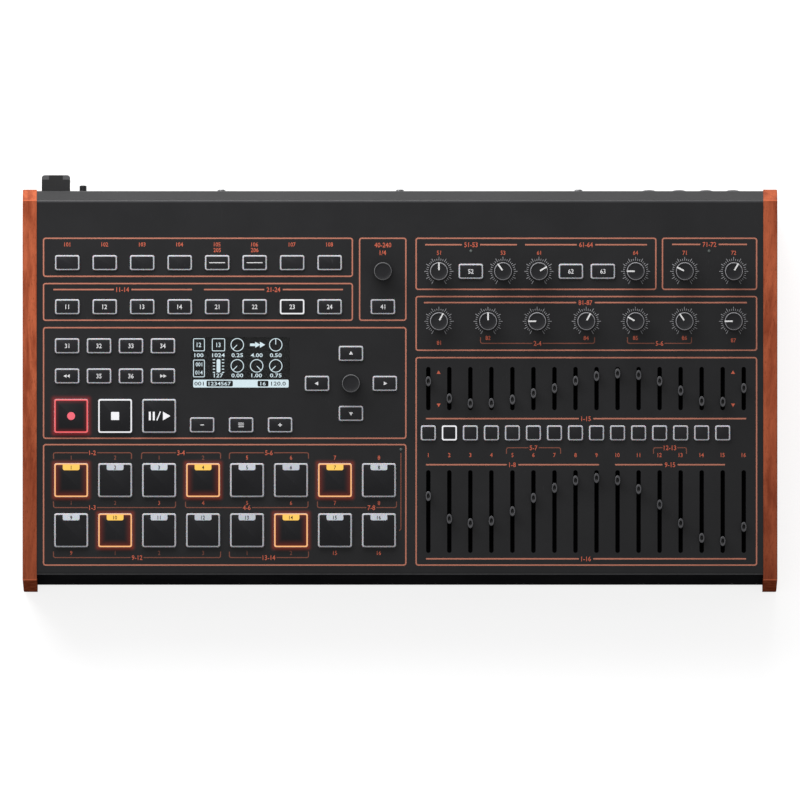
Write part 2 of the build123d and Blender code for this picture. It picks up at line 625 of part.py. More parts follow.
def fasteners():
    """Every screw, board stud and pillar."""
    pieces = [Pos(x, y, FOOT_RECESS_DEPTH) * screw(FOOT_SCREW_LENGTH) for x, y in foot_places()]
    through_two = screw(2 * SHEET + SCREW_REACH)
    pieces += [place * through_two for place in panel_screw_places()]
    for place in rear_screw_places(LAP_SCREW_Z) + rear_screw_places(FLANGE_SCREW_Z):
        pieces.append(place * Rot(180, 0, 0) * through_two)
    for side in (-1, 1):
        for y, z in cheek_screw_places():
            place = Location((side * (HALF_PANEL - SHEET), y, z), (0, 90 * side, 0))
            pieces.append(place * screw(SHEET + CHEEK_SCREW_LENGTH - SCREW_FIT))
    bored = post(SCREW_RADIUS + SCREW_FIT, -BOARD_DEPTH, -BOARD_DEPTH + STUD_SCREW_DEPTH + SCREW_FIT)
    stud = post(STUD_RADIUS, -BOARD_DEPTH, -SHEET) - bored
    for u, v in STUDS:
        pieces.append(on_panel(stud, u, v))
        below = Pos(0, 0, -BOARD_DEPTH - BOARD_THICKNESS)
        pieces.append(on_panel(below * screw(BOARD_THICKNESS + STUD_SCREW_DEPTH), u, v))
    height = MAIN_BOARD_TOP - BOARD_THICKNESS
    hole = post(SCREW_RADIUS + SCREW_FIT, height - STUD_SCREW_DEPTH - SCREW_FIT, height)
    hole += post(SCREW_RADIUS + SCREW_FIT, BASE_TOP, BASE_TOP + STUD_SCREW_DEPTH + SCREW_FIT)
    pillar = post(PILLAR_RADIUS, BASE_TOP, height) - hole
    for x, y in pillar_places():
        place = Pos(x, y, 0)
        pieces.append(place * pillar)
        pieces.append(place * Pos(0, 0, FOOT_HEIGHT) * screw(SHEET + STUD_SCREW_DEPTH))
        upside_down = Pos(0, 0, MAIN_BOARD_TOP) * Rot(180, 0, 0)
        pieces.append(place * upside_down * screw(BOARD_THICKNESS + STUD_SCREW_DEPTH))
    return pieces


def pillar_places():
    """Centres of the pillars that carry the main board's front edge."""
    return [(across(column), MAIN_BOARD_FRONT + PILLAR_INSET) for column in PILLAR_COLUMNS]


# ================================================================ boards and what they carry
def control_board():
    """Circuit board under the whole panel."""
    half = HALF_PANEL - SHEET - BOARD_SIDE_GAP
    low = -BOARD_DEPTH - BOARD_THICKNESS
    board = block((-half, half), (BOARD_FRONT, BOARD_REAR), (low, -BOARD_DEPTH))
    for u, v in STUDS:
        board -= Pos(u, v) * post(SCREW_RADIUS + SCREW_FIT, low, -BOARD_DEPTH)
    return PANEL_PLACE * board


def main_board():
    """Circuit board behind the rear wall, with its larger chips and capacitors."""
    half = HALF_PANEL - SHEET - MAIN_BOARD_MARGIN
    low = MAIN_BOARD_TOP - BOARD_THICKNESS
    board = block((-half, half), (MAIN_BOARD_FRONT, MAIN_BOARD_REAR), (low, MAIN_BOARD_TOP))
    for x, y in pillar_places():
        board -= Pos(x, y, 0) * post(SCREW_RADIUS + SCREW_FIT, low, MAIN_BOARD_TOP)
    y = MAIN_BOARD_FRONT + CHIP_INSET
    parts = [board]
    for column, side in CHIPS:
        parts.append(Pos(across(column), y, MAIN_BOARD_TOP) * slab(side, side, 0, CHIP_HEIGHT))
    can = post(CAPACITOR_RADIUS, 0, CAPACITOR_HEIGHT)
    parts += [Pos(across(column), y, MAIN_BOARD_TOP) * can for column in CAPACITOR_COLUMNS]
    return parts


def display_module():
    """Display on the control board, up to the window's flange."""
    width = WINDOW_WIDTH + 2 * MODULE_PAST
    length = WINDOW_LENGTH + 2 * MODULE_PAST
    return on_panel(tile(width, length, WINDOW_CORNER, -BOARD_DEPTH, MODULE_TOP), *WINDOW_PLACE)


def display_window():
    """Clear window in its cut-out, held by a flange under the panel."""
    window = tile(WINDOW_WIDTH, WINDOW_LENGTH, WINDOW_CORNER, -SHEET, WINDOW_TOP)
    width = WINDOW_WIDTH + 2 * WINDOW_FLANGE
    length = WINDOW_LENGTH + 2 * WINDOW_FLANGE
    window += tile(width, length, WINDOW_CORNER, MODULE_TOP, -SHEET)
    return on_panel(window, *WINDOW_PLACE)


def slide_body(slot, travel):
    """Body of a slide control, with the track that its lever runs in."""
    top = -BOARD_DEPTH + SLIDER_BODY_HEIGHT
    body = slab(SLIDER_BODY_WIDTH, slot + 2 * SLIDER_BODY_PAST, -BOARD_DEPTH, top)
    track = travel + LEVER_LENGTH + 2 * TRACK_PAST
    return body - slab(LEVER_WIDTH + 2 * SLIDING, track, top - TRACK_DEPTH, top)


def potentiometers():
    """Bodies of all rotary and slide controls, standing on the control board."""
    top = -BOARD_DEPTH + POT_HEIGHT
    rotary = slab(POT_SIDE, POT_SIDE, -BOARD_DEPTH, top)
    rotary -= post(SHAFT_RADIUS + RUNNING, top - POT_BORE_DEPTH, top)
    bodies = [on_panel(rotary, place[0], place[1]) for place in KNOBS.values()]
    bodies += [on_panel(rotary, u, v) for u, v in ENCODERS.values()]
    level, pan = slide_body(LEVEL_SLOT, LEVEL_TRAVEL), slide_body(PAN_SLOT, PAN_TRAVEL)
    bodies += [on_panel(level, u, LEVEL_V) for u in FADERS]
    bodies += [on_panel(pan, u, PAN_V) for u in FADERS]
    return bodies


def switches():
    """Switches and pad sensors on the control board, the lamps and the power switch."""
    switch = slab(SWITCH_SIDE, SWITCH_SIDE, -BOARD_DEPTH, KEY_SWITCH_TOP)
    places = [place for group in KEYS.values() for place in group] + VOICE_KEYS
    bodies = [on_panel(switch, u, v) for u, v in places]
    sensor = slab(SENSOR_SIDE, SENSOR_SIDE, -BOARD_DEPTH, KEY_SWITCH_TOP)
    bodies += [on_panel(sensor, u, v) for group in PADS.values() for u, v in group]
    shoulder = -SHEET - LAMP_SHOULDER
    lamp = post(LAMP_BASE_RADIUS, -BOARD_DEPTH, shoulder)
    lamp += crowned(post(LAMP_RADIUS, shoulder, LAMP_PROUD), LAMP_CROWN)
    bodies += [on_panel(lamp, u, v) for u, v in LAMP_PLACES]
    housing = socket_body(*POWER_SWITCH)
    housing -= post(POWER_RADIUS + RUNNING, -SHEET - POWER_GUIDE - POWER_TRAVEL - STOP_GAP, -SHEET)
    bodies.append(on_rear(housing, across(POWER_COLUMN)))
    return bodies


# ================================================================ rear wall fittings
def socket_body(width, length):
    """Block from the rear plate's inner face, standing on the main board."""
    return slab(width, 2 * (SOCKET_HEIGHT - MAIN_BOARD_TOP), -SHEET - length, -SHEET)


def phone_jacks():
    """Large jack sockets, each with its washer and nut outside the rear wall."""
    body = socket_body(*JACK_BODY) + post(JACK_BUSH, -SHEET, JACK_BUSH_PROUD)
    body -= post(JACK_BORE, JACK_BUSH_PROUD - JACK_BORE_LENGTH, JACK_BUSH_PROUD)
    washer = post(WASHER_RADIUS, 0, WASHER_THICKNESS) - post(JACK_BUSH + BUSH_FIT, 0, WASHER_THICKNESS)
    nut_top = WASHER_THICKNESS + NUT_THICKNESS
    hexagon = RegularPolygon(NUT_ACROSS_FLATS / 2, 6, major_radius=False)
    nut = Pos(0, 0, WASHER_THICKNESS) * extrude(hexagon, NUT_THICKNESS)
    nut -= post(JACK_BUSH + BUSH_FIT, WASHER_THICKNESS, nut_top)
    return [on_rear(piece, x) for x in JACKS for piece in (body, washer, nut)]


def small_jacks():
    """Small sockets with a round nut."""
    body = socket_body(*SMALL_JACK_BODY) + post(SMALL_JACK_NOSE, -SHEET, NUT_THICKNESS)
    body -= post(SMALL_JACK_BORE, NUT_THICKNESS - SMALL_JACK_BORE_LENGTH, NUT_THICKNESS)
    nut = post(SMALL_JACK_NUT, 0, NUT_THICKNESS) - post(SMALL_JACK_NOSE + BUSH_FIT, 0, NUT_THICKNESS)
    nut = fillet(nut.edges().group_by(Axis.Z)[-1].sort_by(SortBy.LENGTH)[-1], NUT_CROWN)
    return [on_rear(piece, x) for x in SMALL_JACKS for piece in (body, nut)]


def round_data_socket():
    """Five-pole round socket: a flush insert inside a groove for the plug's shell."""
    body = socket_body(*DIN_BODY) + post(DIN_NOSE, -SHEET, SOCKET_PROUD)
    groove = post(DIN_GROOVE_OUTER, SOCKET_PROUD - DIN_GROOVE_DEPTH, SOCKET_PROUD)
    body -= groove - post(DIN_GROOVE_INNER, SOCKET_PROUD - DIN_GROOVE_DEPTH, SOCKET_PROUD)
    for pin in range(DIN_PINS):
        turn = 180.0 * pin / (DIN_PINS - 1)
        place = Rot(0, 0, turn) * Pos(DIN_PIN_CIRCLE, 0, 0)
        body -= place * post(DIN_PIN_HOLE, SOCKET_PROUD - DIN_GROOVE_DEPTH, SOCKET_PROUD)
    return body


def square_data_socket():
    """Square computer socket with its contact tongue."""
    body = socket_body(USB_SIZE[0], USB_BODY_LENGTH)
    body += slab(*USB_SIZE, -SHEET, SOCKET_PROUD)
    foot = SOCKET_PROUD - USB_DEPTH
    mouth = slab(*USB_MOUTH, foot, SOCKET_PROUD)
    return body - (mouth - slab(*USB_TONGUE, foot, SOCKET_PROUD - USB_TONGUE_BACK))


def power_inlet():
    """Low-voltage inlet with its centre pin."""
    body = socket_body(*INLET_BODY) + post(INLET_NOSE, -SHEET, SOCKET_PROUD)
    body -= post(INLET_BORE, SOCKET_PROUD - INLET_DEPTH, SOCKET_PROUD)
    return body + post(INLET_PIN, SOCKET_PROUD - INLET_DEPTH, -SHEET)


def data_sockets():
    """All moulded sockets of the rear plate."""
    pieces = [on_rear(round_data_socket(), x) for x in DIN_SOCKETS]
    pieces.append(on_rear(square_data_socket(), across(USB_COLUMN)))
    pieces.append(on_rear(power_inlet(), across(INLET_COLUMN)))
    return pieces + small_jacks()


def cord_hook():
    """Hook that takes the strain of the supply lead: plate, arm and hanging lip."""
    half = HOOK_WIDTH / 2
    depth = (REAR_Y, REAR_Y + HOOK_REACH)
    hook = block((-half, half), depth, (HOOK_TOP - HOOK_HEIGHT, HOOK_TOP))
    inner = (REAR_Y + HOOK_WALL, REAR_Y + HOOK_REACH - HOOK_WALL)
    hook -= block((-half, half), inner, (HOOK_TOP - HOOK_HEIGHT, HOOK_TOP - HOOK_WALL))
    outer = (REAR_Y + HOOK_REACH - HOOK_WALL, REAR_Y + HOOK_REACH)
    hook -= block((-half, half), outer, (HOOK_TOP - HOOK_HEIGHT, HOOK_TOP - HOOK_LIP))
    corners = hook.edges().filter_by(Axis.Z).group_by(Axis.Y)[-1]
    hook = fillet(corners, HOOK_CORNER)
    return Pos(across(HOOK_COLUMN), 0, 0) * hook


# ================================================================ moving pieces
def key(width, length, corner, proud, crown, stem, travel):
    """A button: cap through the panel, flange under it and plunger down to its switch."""
    seat = -SHEET - SEAT_GAP
    cap = crowned(tile(width, length, corner, seat, proud), crown)
    cap += tile(width + 2 * KEY_LIP, length + 2 * KEY_LIP, corner, seat - KEY_FLANGE, seat)
    return cap + slab(stem, stem, KEY_SWITCH_TOP + travel + STOP_GAP, seat - KEY_FLANGE)


def knob(pointer):
    """A knob and its shaft, with a groove for the white pointer."""
    low, high = KNOB_LIFT, KNOB_LIFT + KNOB_HEIGHT
    cap = crowned(Pos(0, 0, low) * tapered(KNOB_RADIUS, KNOB_TOP_RADIUS, KNOB_HEIGHT), KNOB_CROWN)
    if pointer:
        half = POINTER_WIDTH / 2
        cap -= block((-half, half), (POINTER_START, KNOB_RADIUS), (high - POINTER_DEPTH, high))
    cap -= post(SHAFT_RADIUS, low, low + SHAFT_GRIP)
    pot_top = -BOARD_DEPTH + POT_HEIGHT
    return cap, post(SHAFT_RADIUS, pot_top - POT_SHAFT_DEPTH, low + SHAFT_GRIP)


def slider():
    """A slider: oval cap with a finger dish, on a flat metal lever."""
    low, high = CAP_LIFT, CAP_LIFT + CAP_HEIGHT
    cap = Pos(0, 0, low) * extrude(SlotOverall(CAP_LENGTH, CAP_WIDTH, rotation=90), CAP_HEIGHT)
    cap = crowned(cap, CAP_CROWN)
    dish = SlotOverall(CAP_LENGTH - 2 * DISH_RIM, CAP_WIDTH - 2 * DISH_RIM, rotation=90)
    cap -= Pos(0, 0, high - CAP_DISH) * extrude(dish, CAP_DISH)
    cap -= slab(LEVER_WIDTH, LEVER_LENGTH, low, low + LEVER_GRIP)
    body_top = -BOARD_DEPTH + SLIDER_BODY_HEIGHT
    return cap, slab(LEVER_WIDTH, LEVER_LENGTH, body_top - LEVER_DEPTH, low + LEVER_GRIP)


def power_button():
    """Round push button in the rear plate."""
    button = crowned(post(POWER_RADIUS, -SHEET - POWER_GUIDE, POWER_PROUD), POWER_CROWN)
    return on_rear(button, across(POWER_COLUMN))


# ================================================================ the whole machine
def all_nodes():
    """Every node of the machine, as name and solids."""
    nodes = {
        "top_panel": top_panel(),
        "base_pan": [floor_pan(), rear_plate()],
        "left_cheek": cheek(-1),
        "right_cheek": cheek(1),
        "rubber_feet": rubber_feet(),
        "screws_and_studs": fasteners(),
        "control_board": control_board(),
        "main_board": main_board(),
        "display_module": display_module(),
        "display_window": display_window(),
        "potentiometers": potentiometers(),
        "switches_and_lamps": switches(),
        "phone_jacks": phone_jacks(),
        "data_sockets": data_sockets(),
        "cord_hook": cord_hook(),
        "power_button": power_button(),
    }
    small = key(KEY_WIDTH, KEY_LENGTH, KEY_CORNER, KEY_PROUD, KEY_CROWN, KEY_STEM, KEY_TRAVEL)
    for name, places in KEYS.items():
        nodes[name] = [on_panel(small, u, v) for u, v in places]
    square = key(VOICE_SIDE, VOICE_SIDE, KEY_CORNER, KEY_PROUD, KEY_CROWN, KEY_STEM, KEY_TRAVEL)
    nodes["voice_keys"] = [on_panel(square, u, v) for u, v in VOICE_KEYS]
    pad = key(PAD_SIDE, PAD_SIDE, PAD_CORNER, PAD_PROUD, PAD_CROWN, PAD_STEM, PAD_TRAVEL)
    for name, places in PADS.items():
        nodes[name] = [on_panel(pad, u, v) for u, v in places]
    marked, plain = knob(True), knob(False)
    for name, (u, v, turned) in KNOBS.items():
        nodes[name] = [on_panel(piece, u, v, -turned) for piece in marked]
    for name, (u, v) in ENCODERS.items():
        nodes[name] = [on_panel(piece, u, v) for piece in plain]
    grip = slider()
    for channel, (u, v) in enumerate(LEVEL_PLACES, 1):
        nodes[f"level_fader_{channel:02d}"] = [on_panel(piece, u, v) for piece in grip]
    for name, sliders in PAN_GROUPS.items():
        nodes[name] = [on_panel(piece, u, PAN_V + setting) for u, setting in sliders for piece in grip]
    return nodes


def solids_of(shape):
    """Every single solid of a shape or of a list of shapes."""
    shapes = shape if isinstance(shape, list) else [shape]
    return [solid for piece in shapes for solid in piece.solids()]


if __name__ == "__main__":
    os.makedirs("parts", exist_ok=True)
    for node, shape in all_nodes().items():
        solids = solids_of(shape)
        export_step(solids[0] if len(solids) == 1 else Compound(solids), f"parts/{node}.step")
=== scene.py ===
"""Finish of a desktop drum machine: paint, print, keys, pads, knobs, sliders, display and sockets.

Panel frame, used for every shape below: u to the right from the middle, v up the slope from the
front fold, w out of the panel, all in millimetres. The PANEL matrix takes it to the frame's metres.
"""

import json
from math import atan2, pi, radians, sin

import bmesh
import bpy
from bpy.props import FloatProperty, FloatVectorProperty, IntProperty, PointerProperty
from mathutils import Matrix, Vector


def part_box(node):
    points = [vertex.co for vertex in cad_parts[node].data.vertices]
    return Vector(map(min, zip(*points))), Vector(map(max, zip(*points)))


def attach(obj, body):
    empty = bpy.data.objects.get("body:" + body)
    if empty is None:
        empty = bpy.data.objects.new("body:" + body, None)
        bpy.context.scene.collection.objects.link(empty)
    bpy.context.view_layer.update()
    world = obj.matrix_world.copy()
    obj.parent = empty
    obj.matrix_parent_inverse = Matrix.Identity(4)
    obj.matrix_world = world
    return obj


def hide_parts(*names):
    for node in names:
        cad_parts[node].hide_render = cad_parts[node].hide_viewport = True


bl_info = {
    "name": "Drum machine finish",
    "version": (1, 0, 0),
    "blender": (4, 5, 0),
    "location": "View3D > Sidebar > Drum machine",
    "description": "Paint, print, keys, pads, knobs, sliders and display of a desktop drum machine",
    "category": "Object",
}

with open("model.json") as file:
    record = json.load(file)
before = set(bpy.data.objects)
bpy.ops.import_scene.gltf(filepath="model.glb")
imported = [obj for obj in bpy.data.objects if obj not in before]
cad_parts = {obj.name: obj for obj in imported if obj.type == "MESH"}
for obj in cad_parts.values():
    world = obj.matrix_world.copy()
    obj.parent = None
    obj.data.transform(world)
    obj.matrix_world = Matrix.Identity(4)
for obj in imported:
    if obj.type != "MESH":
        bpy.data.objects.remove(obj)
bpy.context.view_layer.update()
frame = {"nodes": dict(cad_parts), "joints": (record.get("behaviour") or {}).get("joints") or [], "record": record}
MM = 0.001


# ================================================================ the panel's own frame
def joint(name):
    """The joint of that name."""
    return next(j for j in frame["joints"] if j["name"] == name)


def panel_matrix():
    """From panel millimetres to metres: the panel's plane meets the front face at v = 0."""
    wheel = joint("data_wheel_turn")
    out = Vector(wheel["axis"]).normalized()
    right = Vector((1, 0, 0))
    on_panel = Vector(wheel["pos_m"])
    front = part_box("top_panel")[0].y
    height = on_panel.z - out.y / out.z * (front - on_panel.y)
    turn = Matrix((right, out.cross(right), out)).transposed().to_4x4()
    return Matrix.Translation((0, front, height)) @ turn @ Matrix.Scale(MM, 4)


PANEL = panel_matrix()
TO_PANEL = PANEL.inverted()
TILT = PANEL.to_euler().x
CREST = (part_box("top_panel")[1].z - PANEL.translation.z) / sin(TILT) / MM    # rear fold, along v
REAR_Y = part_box("base_pan")[1].y / MM
# the rear wall's own frame, in millimetres: x to the right as seen from behind, y up, z out
REAR = (
    Matrix.Translation((0, REAR_Y * MM, 0))
    @ Matrix(((-1, 0, 0), (0, 0, 1), (0, 1, 0))).to_4x4()
    @ Matrix.Scale(MM, 4)
)
ABOVE = 0.05                # height past which a solid counts as standing above the panel
MERGE = 0.000001            # metres
ROW_STEP = 5.0              # caps within this far along v are in one row


class Cap:
    """What stands above the panel of one solid: its centre, width, length and top."""

    def __init__(self, points):
        low = [min(p[i] for p in points) for i in range(3)]
        high = [max(p[i] for p in points) for i in range(3)]
        self.u, self.v = (low[0] + high[0]) / 2, (low[1] + high[1]) / 2
        self.width, self.length = high[0] - low[0], high[1] - low[1]
        self.top = high[2]

    def covers(self, other):
        """Whether the other cap's centre lies in this one."""
        return abs(self.u - other.u) < self.width / 2 and abs(self.v - other.v) < self.length / 2

    def place(self, height=0.0, turn=0.0):
        """Where a shape made about the w axis goes on this cap."""
        return Matrix.Translation((self.u, self.v, height)) @ Matrix.Rotation(turn, 4, "Z")


def shells(bm):
    """The vertices of each connected shell of a mesh."""
    unseen = set(bm.verts)
    while unseen:
        shell, reached = [], [unseen.pop()]
        while reached:
            vert = reached.pop()
            shell.append(vert)
            for edge in vert.link_edges:
                other = edge.other_vert(vert)
                if other in unseen:
                    unseen.remove(other)
                    reached.append(other)
        yield shell


def caps_of(node):
    """The caps of a CAD node, row by row from the rear and from left to right."""
    bm = bmesh.new()
    bm.from_mesh(frame["nodes"][node].data)
    bmesh.ops.remove_doubles(bm, verts=bm.verts, dist=MERGE)
    bm.transform(TO_PANEL)
    raised = ([v.co.copy() for v in shell if v.co.z > ABOVE] for shell in shells(bm))
    found = sorted((Cap(points) for points in raised if points), key=lambda cap: -cap.width)
    bm.free()
    outer = []
    for cap in found:
        if not any(other.covers(cap) for other in outer):
            outer.append(cap)
    return sorted(outer, key=lambda cap: (-round(cap.v / ROW_STEP), cap.u))


# ================================================================ colours
def tone(red, green, blue):
    """Linear colour of a screen colour given from 0 to 255."""
    parts = (part / 255 for part in (red, green, blue))
    return tuple(p / 12.92 if p <= 0.04045 else ((p + 0.055) / 1.055) ** 2.4 for p in parts)


def colour(title, words, default):
    """A colour property."""
    return FloatVectorProperty(
        name=title, description=words, subtype="COLOR", size=3, min=0, max=1, default=default
    )


def length(title, words, millimetres):
    """A length property, kept in metres."""
    return FloatProperty(
        name=title, description=words, default=millimetres * MM, min=0, unit="LENGTH", precision=5
    )


def amount(title, words, default, **settings):
    """A plain number property."""
    return FloatProperty(name=title, description=words, default=default, min=0, **settings)


# ================================================================ properties
class CaseLook(bpy.types.PropertyGroup):
    """Paint, wood and fittings of the case."""

    paint: colour("Paint", "Paint of panel and base", tone(27, 27, 29))
    # the paler paint along the panel's folds is a painted highlight
    fold_highlight: colour("Rubbed paint", "Paint along the panel's folds", tone(74, 74, 77))
    wood_dark: colour("Dark grain", "Late wood of the cheeks", tone(150, 66, 38))
    wood_light: colour("Light grain", "Early wood of the cheeks", tone(206, 108, 72))
    metal: colour("Plating", "Nuts, bushes and screws", tone(150, 150, 152))


class PrintLook(bpy.types.PropertyGroup):
    """Print on the panel."""

    ink: colour("Ink", "Frames and title lines", tone(206, 132, 110))
    number_ink: colour("Number ink", "Titles and numbers", tone(224, 112, 86))
    bracket_ink: colour("Bracket ink", "Thin brackets and counts", tone(146, 88, 72))
    scale_ink: colour("Scale ink", "Scales round the knobs", tone(168, 168, 172))
    frame_line: length("Frame line", "Width of the section frames", 0.9)
    title_line: length("Title line", "Width of the lines beside titles", 0.95)
    bracket_line: length("Bracket line", "Width of the thin brackets", 0.62)
    thickness: length("Thickness", "Thickness of the print", 0.04)
    digit: length("Digit height", "Height of printed numbers", 3.1)
    count: length("Count height", "Height of the smaller numbers at pads and channels", 2.7)


class KeyLook(bpy.types.PropertyGroup):
    """Small keys, pads and transport keys."""

    rim: colour("Rim", "Light guide when it is dark", tone(220, 220, 227))
    lit_rim: colour("Lit rim", "Light guide of a lit key", tone(240, 240, 243))
    face: colour("Face", "Dark face inside the rim", tone(34, 34, 37))
    legend: colour("Legend", "Numbers and signs on the faces", tone(250, 250, 252))
    rim_width: length("Rim width", "Rim left round a small key's face", 0.9)
    pad_rim_width: length("Pad rim width", "Rim left round a pad's face", 1.02)
    face_height: length("Face height", "Face above its rim", 0.25)
    pad_light: colour("Pad light", "Rim of a lit pad", tone(255, 184, 120))
    tab: colour("Tab", "Number tab of a dark pad", tone(242, 243, 252))
    tab_light: colour("Tab light", "Number tab of a lit pad", tone(255, 204, 92))
    pad_glow: colour("Pad glow", "Light that leaks round a lit pad", tone(118, 34, 12))
    record_light: colour("Record light", "Rim of the lit record key", tone(246, 96, 100))
    record_glow: colour("Record glow", "Light that leaks round the record key", tone(128, 16, 22))
    tab_width: length("Tab width", "Number tab, along u", 11.1)
    tab_length: length("Tab length", "Number tab, along v", 3.7)


class KnobLook(bpy.types.PropertyGroup):
    """Knobs, wheels and slider caps."""

    body: colour("Body", "Knob body and top", tone(30, 30, 33))
    # the paler edge and wheel edge rings are painted highlights on the chamfer round the top
    edge: colour("Edge", "Ring round a knob's top", tone(152, 152, 156))
    wheel_edge_highlight: colour("Wheel edge", "Ring round an endless wheel's top", tone(104, 104, 106))
    pointer: colour("Pointer", "Knob pointer", tone(250, 250, 250))
    cap: colour("Cap", "Slider cap", tone(12, 12, 13))
    # the paler cap ring is a painted highlight on the cap's rounded rim
    cap_ring_highlight: colour("Cap ring", "Rim round a slider cap's dish", tone(82, 82, 85))
    edge_width: length("Edge width", "Ring round a knob's top", 0.6)
    flute_depth: length("Flute depth", "Grip flutes in a knob's side", 0.22)
    flutes: IntProperty(
        name="Flutes", description="Grip flutes round a knob", default=28, min=8, max=60
    )


class DisplayLook(bpy.types.PropertyGroup):
    """Display and lamps."""

    ground: colour("Ground", "Display where it is dark", tone(6, 10, 13))
    pixel: colour("Pixel", "Lit display pixels", tone(220, 238, 245))
    lamp: colour("Lamp", "Unlit lamp lens", tone(96, 102, 100))
    pitch: length("Pixel pitch", "Distance between display pixels", 0.5)


class StageLook(bpy.types.PropertyGroup):
    """Floor, lamp and camera."""

    floor: colour("Floor", "Colour of the floor", (0.5, 0.5, 0.5))
    backdrop: amount("Backdrop", "White added where the floor is seen", 0.79)
    sky: amount("Sky", "Strength of the even light", 0.32)
    key_power: amount("Key power", "Large soft lamp behind the rear edge", 12.0, subtype="POWER")
    lens: amount("Lens", "Focal length", 1200.0, subtype="DISTANCE_CAMERA")
    field: length("Field", "Width of the picture at the panel", 528.0)
    centre: length("Centre", "Height of the picture's centre up the panel", 115.2)


def look(name):
    """One of the scene's property groups."""
    return getattr(bpy.context.scene, f"drum_{name}")


# ================================================================ node helpers
class Graph:
    """Adds nodes to a tree, with each input given as a value or as another node's output."""

    def __init__(self, tree):
        self.tree = tree

    def feed(self, socket, value):
        """Link an output to a socket, or set the socket's own value."""
        if isinstance(value, bpy.types.NodeSocket):
            self.tree.links.new(value, socket)
        elif socket.type == "RGBA" and len(value) == 3:
            socket.default_value = (*value, 1)
        else:
            socket.default_value = value

    def add(self, kind, inputs=None, **settings):
        """A new shader node with its settings and inputs."""
        node = self.tree.nodes.new(f"ShaderNode{kind}")
        for name, value in settings.items():
            setattr(node, name, value)
        for key, value in (inputs or {}).items():
            self.feed(node.inputs[key], value)
        return node

    def math(self, operation, *values, clamp=False):
        """Result of a math node."""
        inputs = dict(enumerate(values))
        return self.add("Math", inputs, operation=operation, use_clamp=clamp).outputs[0]

    def vector(self, operation, *values):
        """Result of a vector math node."""
        inputs = dict(enumerate(values))
        return self.add("VectorMath", inputs, operation=operation).outputs[0]

    def parts(self, vector):
        """The three parts of a vector."""
        return self.add("SeparateXYZ", {0: vector}).outputs

    def mix(self, share, first, second, blend="MIX"):
        """A colour between two others."""
        node = self.add("Mix", data_type="RGBA", blend_type=blend)
        for socket, value in ((0, share), (6, first), (7, second)):
            self.feed(node.inputs[socket], value)
        return node.outputs[2]

    def spread(self, value, low, high, to_low=0.0, to_high=1.0):
        """A value carried from one range to another and held there."""
        inputs = {"Value": value, 1: low, 2: high, 3: to_low, 4: to_high}
        return self.add("MapRange", inputs, interpolation_type="SMOOTHSTEP").outputs[0]

    def object_place(self, scale=(1, 1, 1), turn=(0, 0, 0)):
        """Object coordinates in metres, stretched for a pattern."""
        place = self.add("TexCoord").outputs["Object"]
        return self.add("Mapping", {"Vector": place, "Rotation": turn, "Scale": scale}).outputs[0]

    def panel_place(self):
        """Object coordinates as panel millimetres."""
        place = self.add("TexCoord").outputs["Object"]
        inputs = {
            "Vector": place,
            "Location": PANEL.translation,
            "Rotation": (TILT, 0, 0),
            "Scale": (MM, MM, MM),
        }
        return self.add("Mapping", inputs, vector_type="TEXTURE").outputs[0]

    def row(self):
        """How far up the panel a point lies, in millimetres."""
        return self.parts(self.panel_place())[1]

    def line_at(self, row, middle, half_width, share):
        """A soft line across the panel: a share in its middle that fades out to both sides."""
        away = self.math("ABSOLUTE", self.math("SUBTRACT", row, middle))
        return self.spread(away, 0.0, half_width, share, 0.0)

    def noise(self, place, scale, detail=2.0, roughness=0.5):
        """A noise texture's value."""
        inputs = {"Vector": place, "Scale": scale, "Detail": detail, "Roughness": roughness}
        return self.add("TexNoise", inputs).outputs[0]

    def group(self, tree, inputs):
        """A placed node group."""
        node = self.tree.nodes.new("ShaderNodeGroup")
        node.node_tree = tree
        for key, value in inputs.items():
            self.feed(node.inputs[key], value)
        return node.outputs

    def bump(self, height, strength, distance):
        """A normal raised by a height map, with the distance in metres."""
        inputs = {"Height": height, "Strength": strength, "Distance": distance}
        return self.add("Bump", inputs).outputs[0]

    def over(self, socket, share, value):
        """Lay a second colour over what feeds a socket."""
        self.feed(socket, self.mix(share, socket.links[0].from_socket, value))


def group_tree(name, inputs, outputs):
    """A new node group with named sockets: its graph, its inputs and its output node's sockets."""
    tree = bpy.data.node_groups.new(name, "ShaderNodeTree")
    for title, kind, value in inputs:
        kind = f"NodeSocket{kind}"
        socket = tree.interface.new_socket(name=title, in_out="INPUT", socket_type=kind)
        socket.default_value = value
    for title in outputs:
        tree.interface.new_socket(name=title, in_out="OUTPUT", socket_type="NodeSocketFloat")
    entry = tree.nodes.new("NodeGroupInput")
    leave = tree.nodes.new("NodeGroupOutput")
    return tree, Graph(tree), entry.outputs, leave.inputs


def once(build):
    """Keep what a builder makes, so that every user shares it."""
    kept = []

    def shared():
        if not kept:
            kept.append(build())
        return kept[0]

    return shared


@once
def fine_grain():
    """Moulded or sprayed surface: fine bumps, and soft patches that vary shade and roughness."""
    inputs = (
        ("Grain Scale", "Float", 2500.0),
        ("Roughness", "Float", 0.5),
        ("Spread", "Float", 0.08),
    )
    tree, graph, given, out = group_tree("Fine grain", inputs, ("Height", "Roughness", "Patches"))
    place = graph.object_place()
    grain = graph.noise(place, given["Grain Scale"], 2.0, 0.6)
    patches = graph.noise(place, 24.0, 4.0, 0.6)
    fine = graph.noise(place, 700.0, 1.0)
    broad_part, fine_part = (graph.math("SUBTRACT", part, 0.5) for part in (patches, fine))
    both = graph.math("MULTIPLY_ADD", broad_part, 1.4, fine_part)
    rough = graph.math("MULTIPLY_ADD", both, given["Spread"], given["Roughness"], clamp=True)
    graph.feed(out["Height"], grain)
    graph.feed(out["Roughness"], rough)
    graph.feed(out["Patches"], graph.spread(patches, 0.35, 0.65))
    return tree


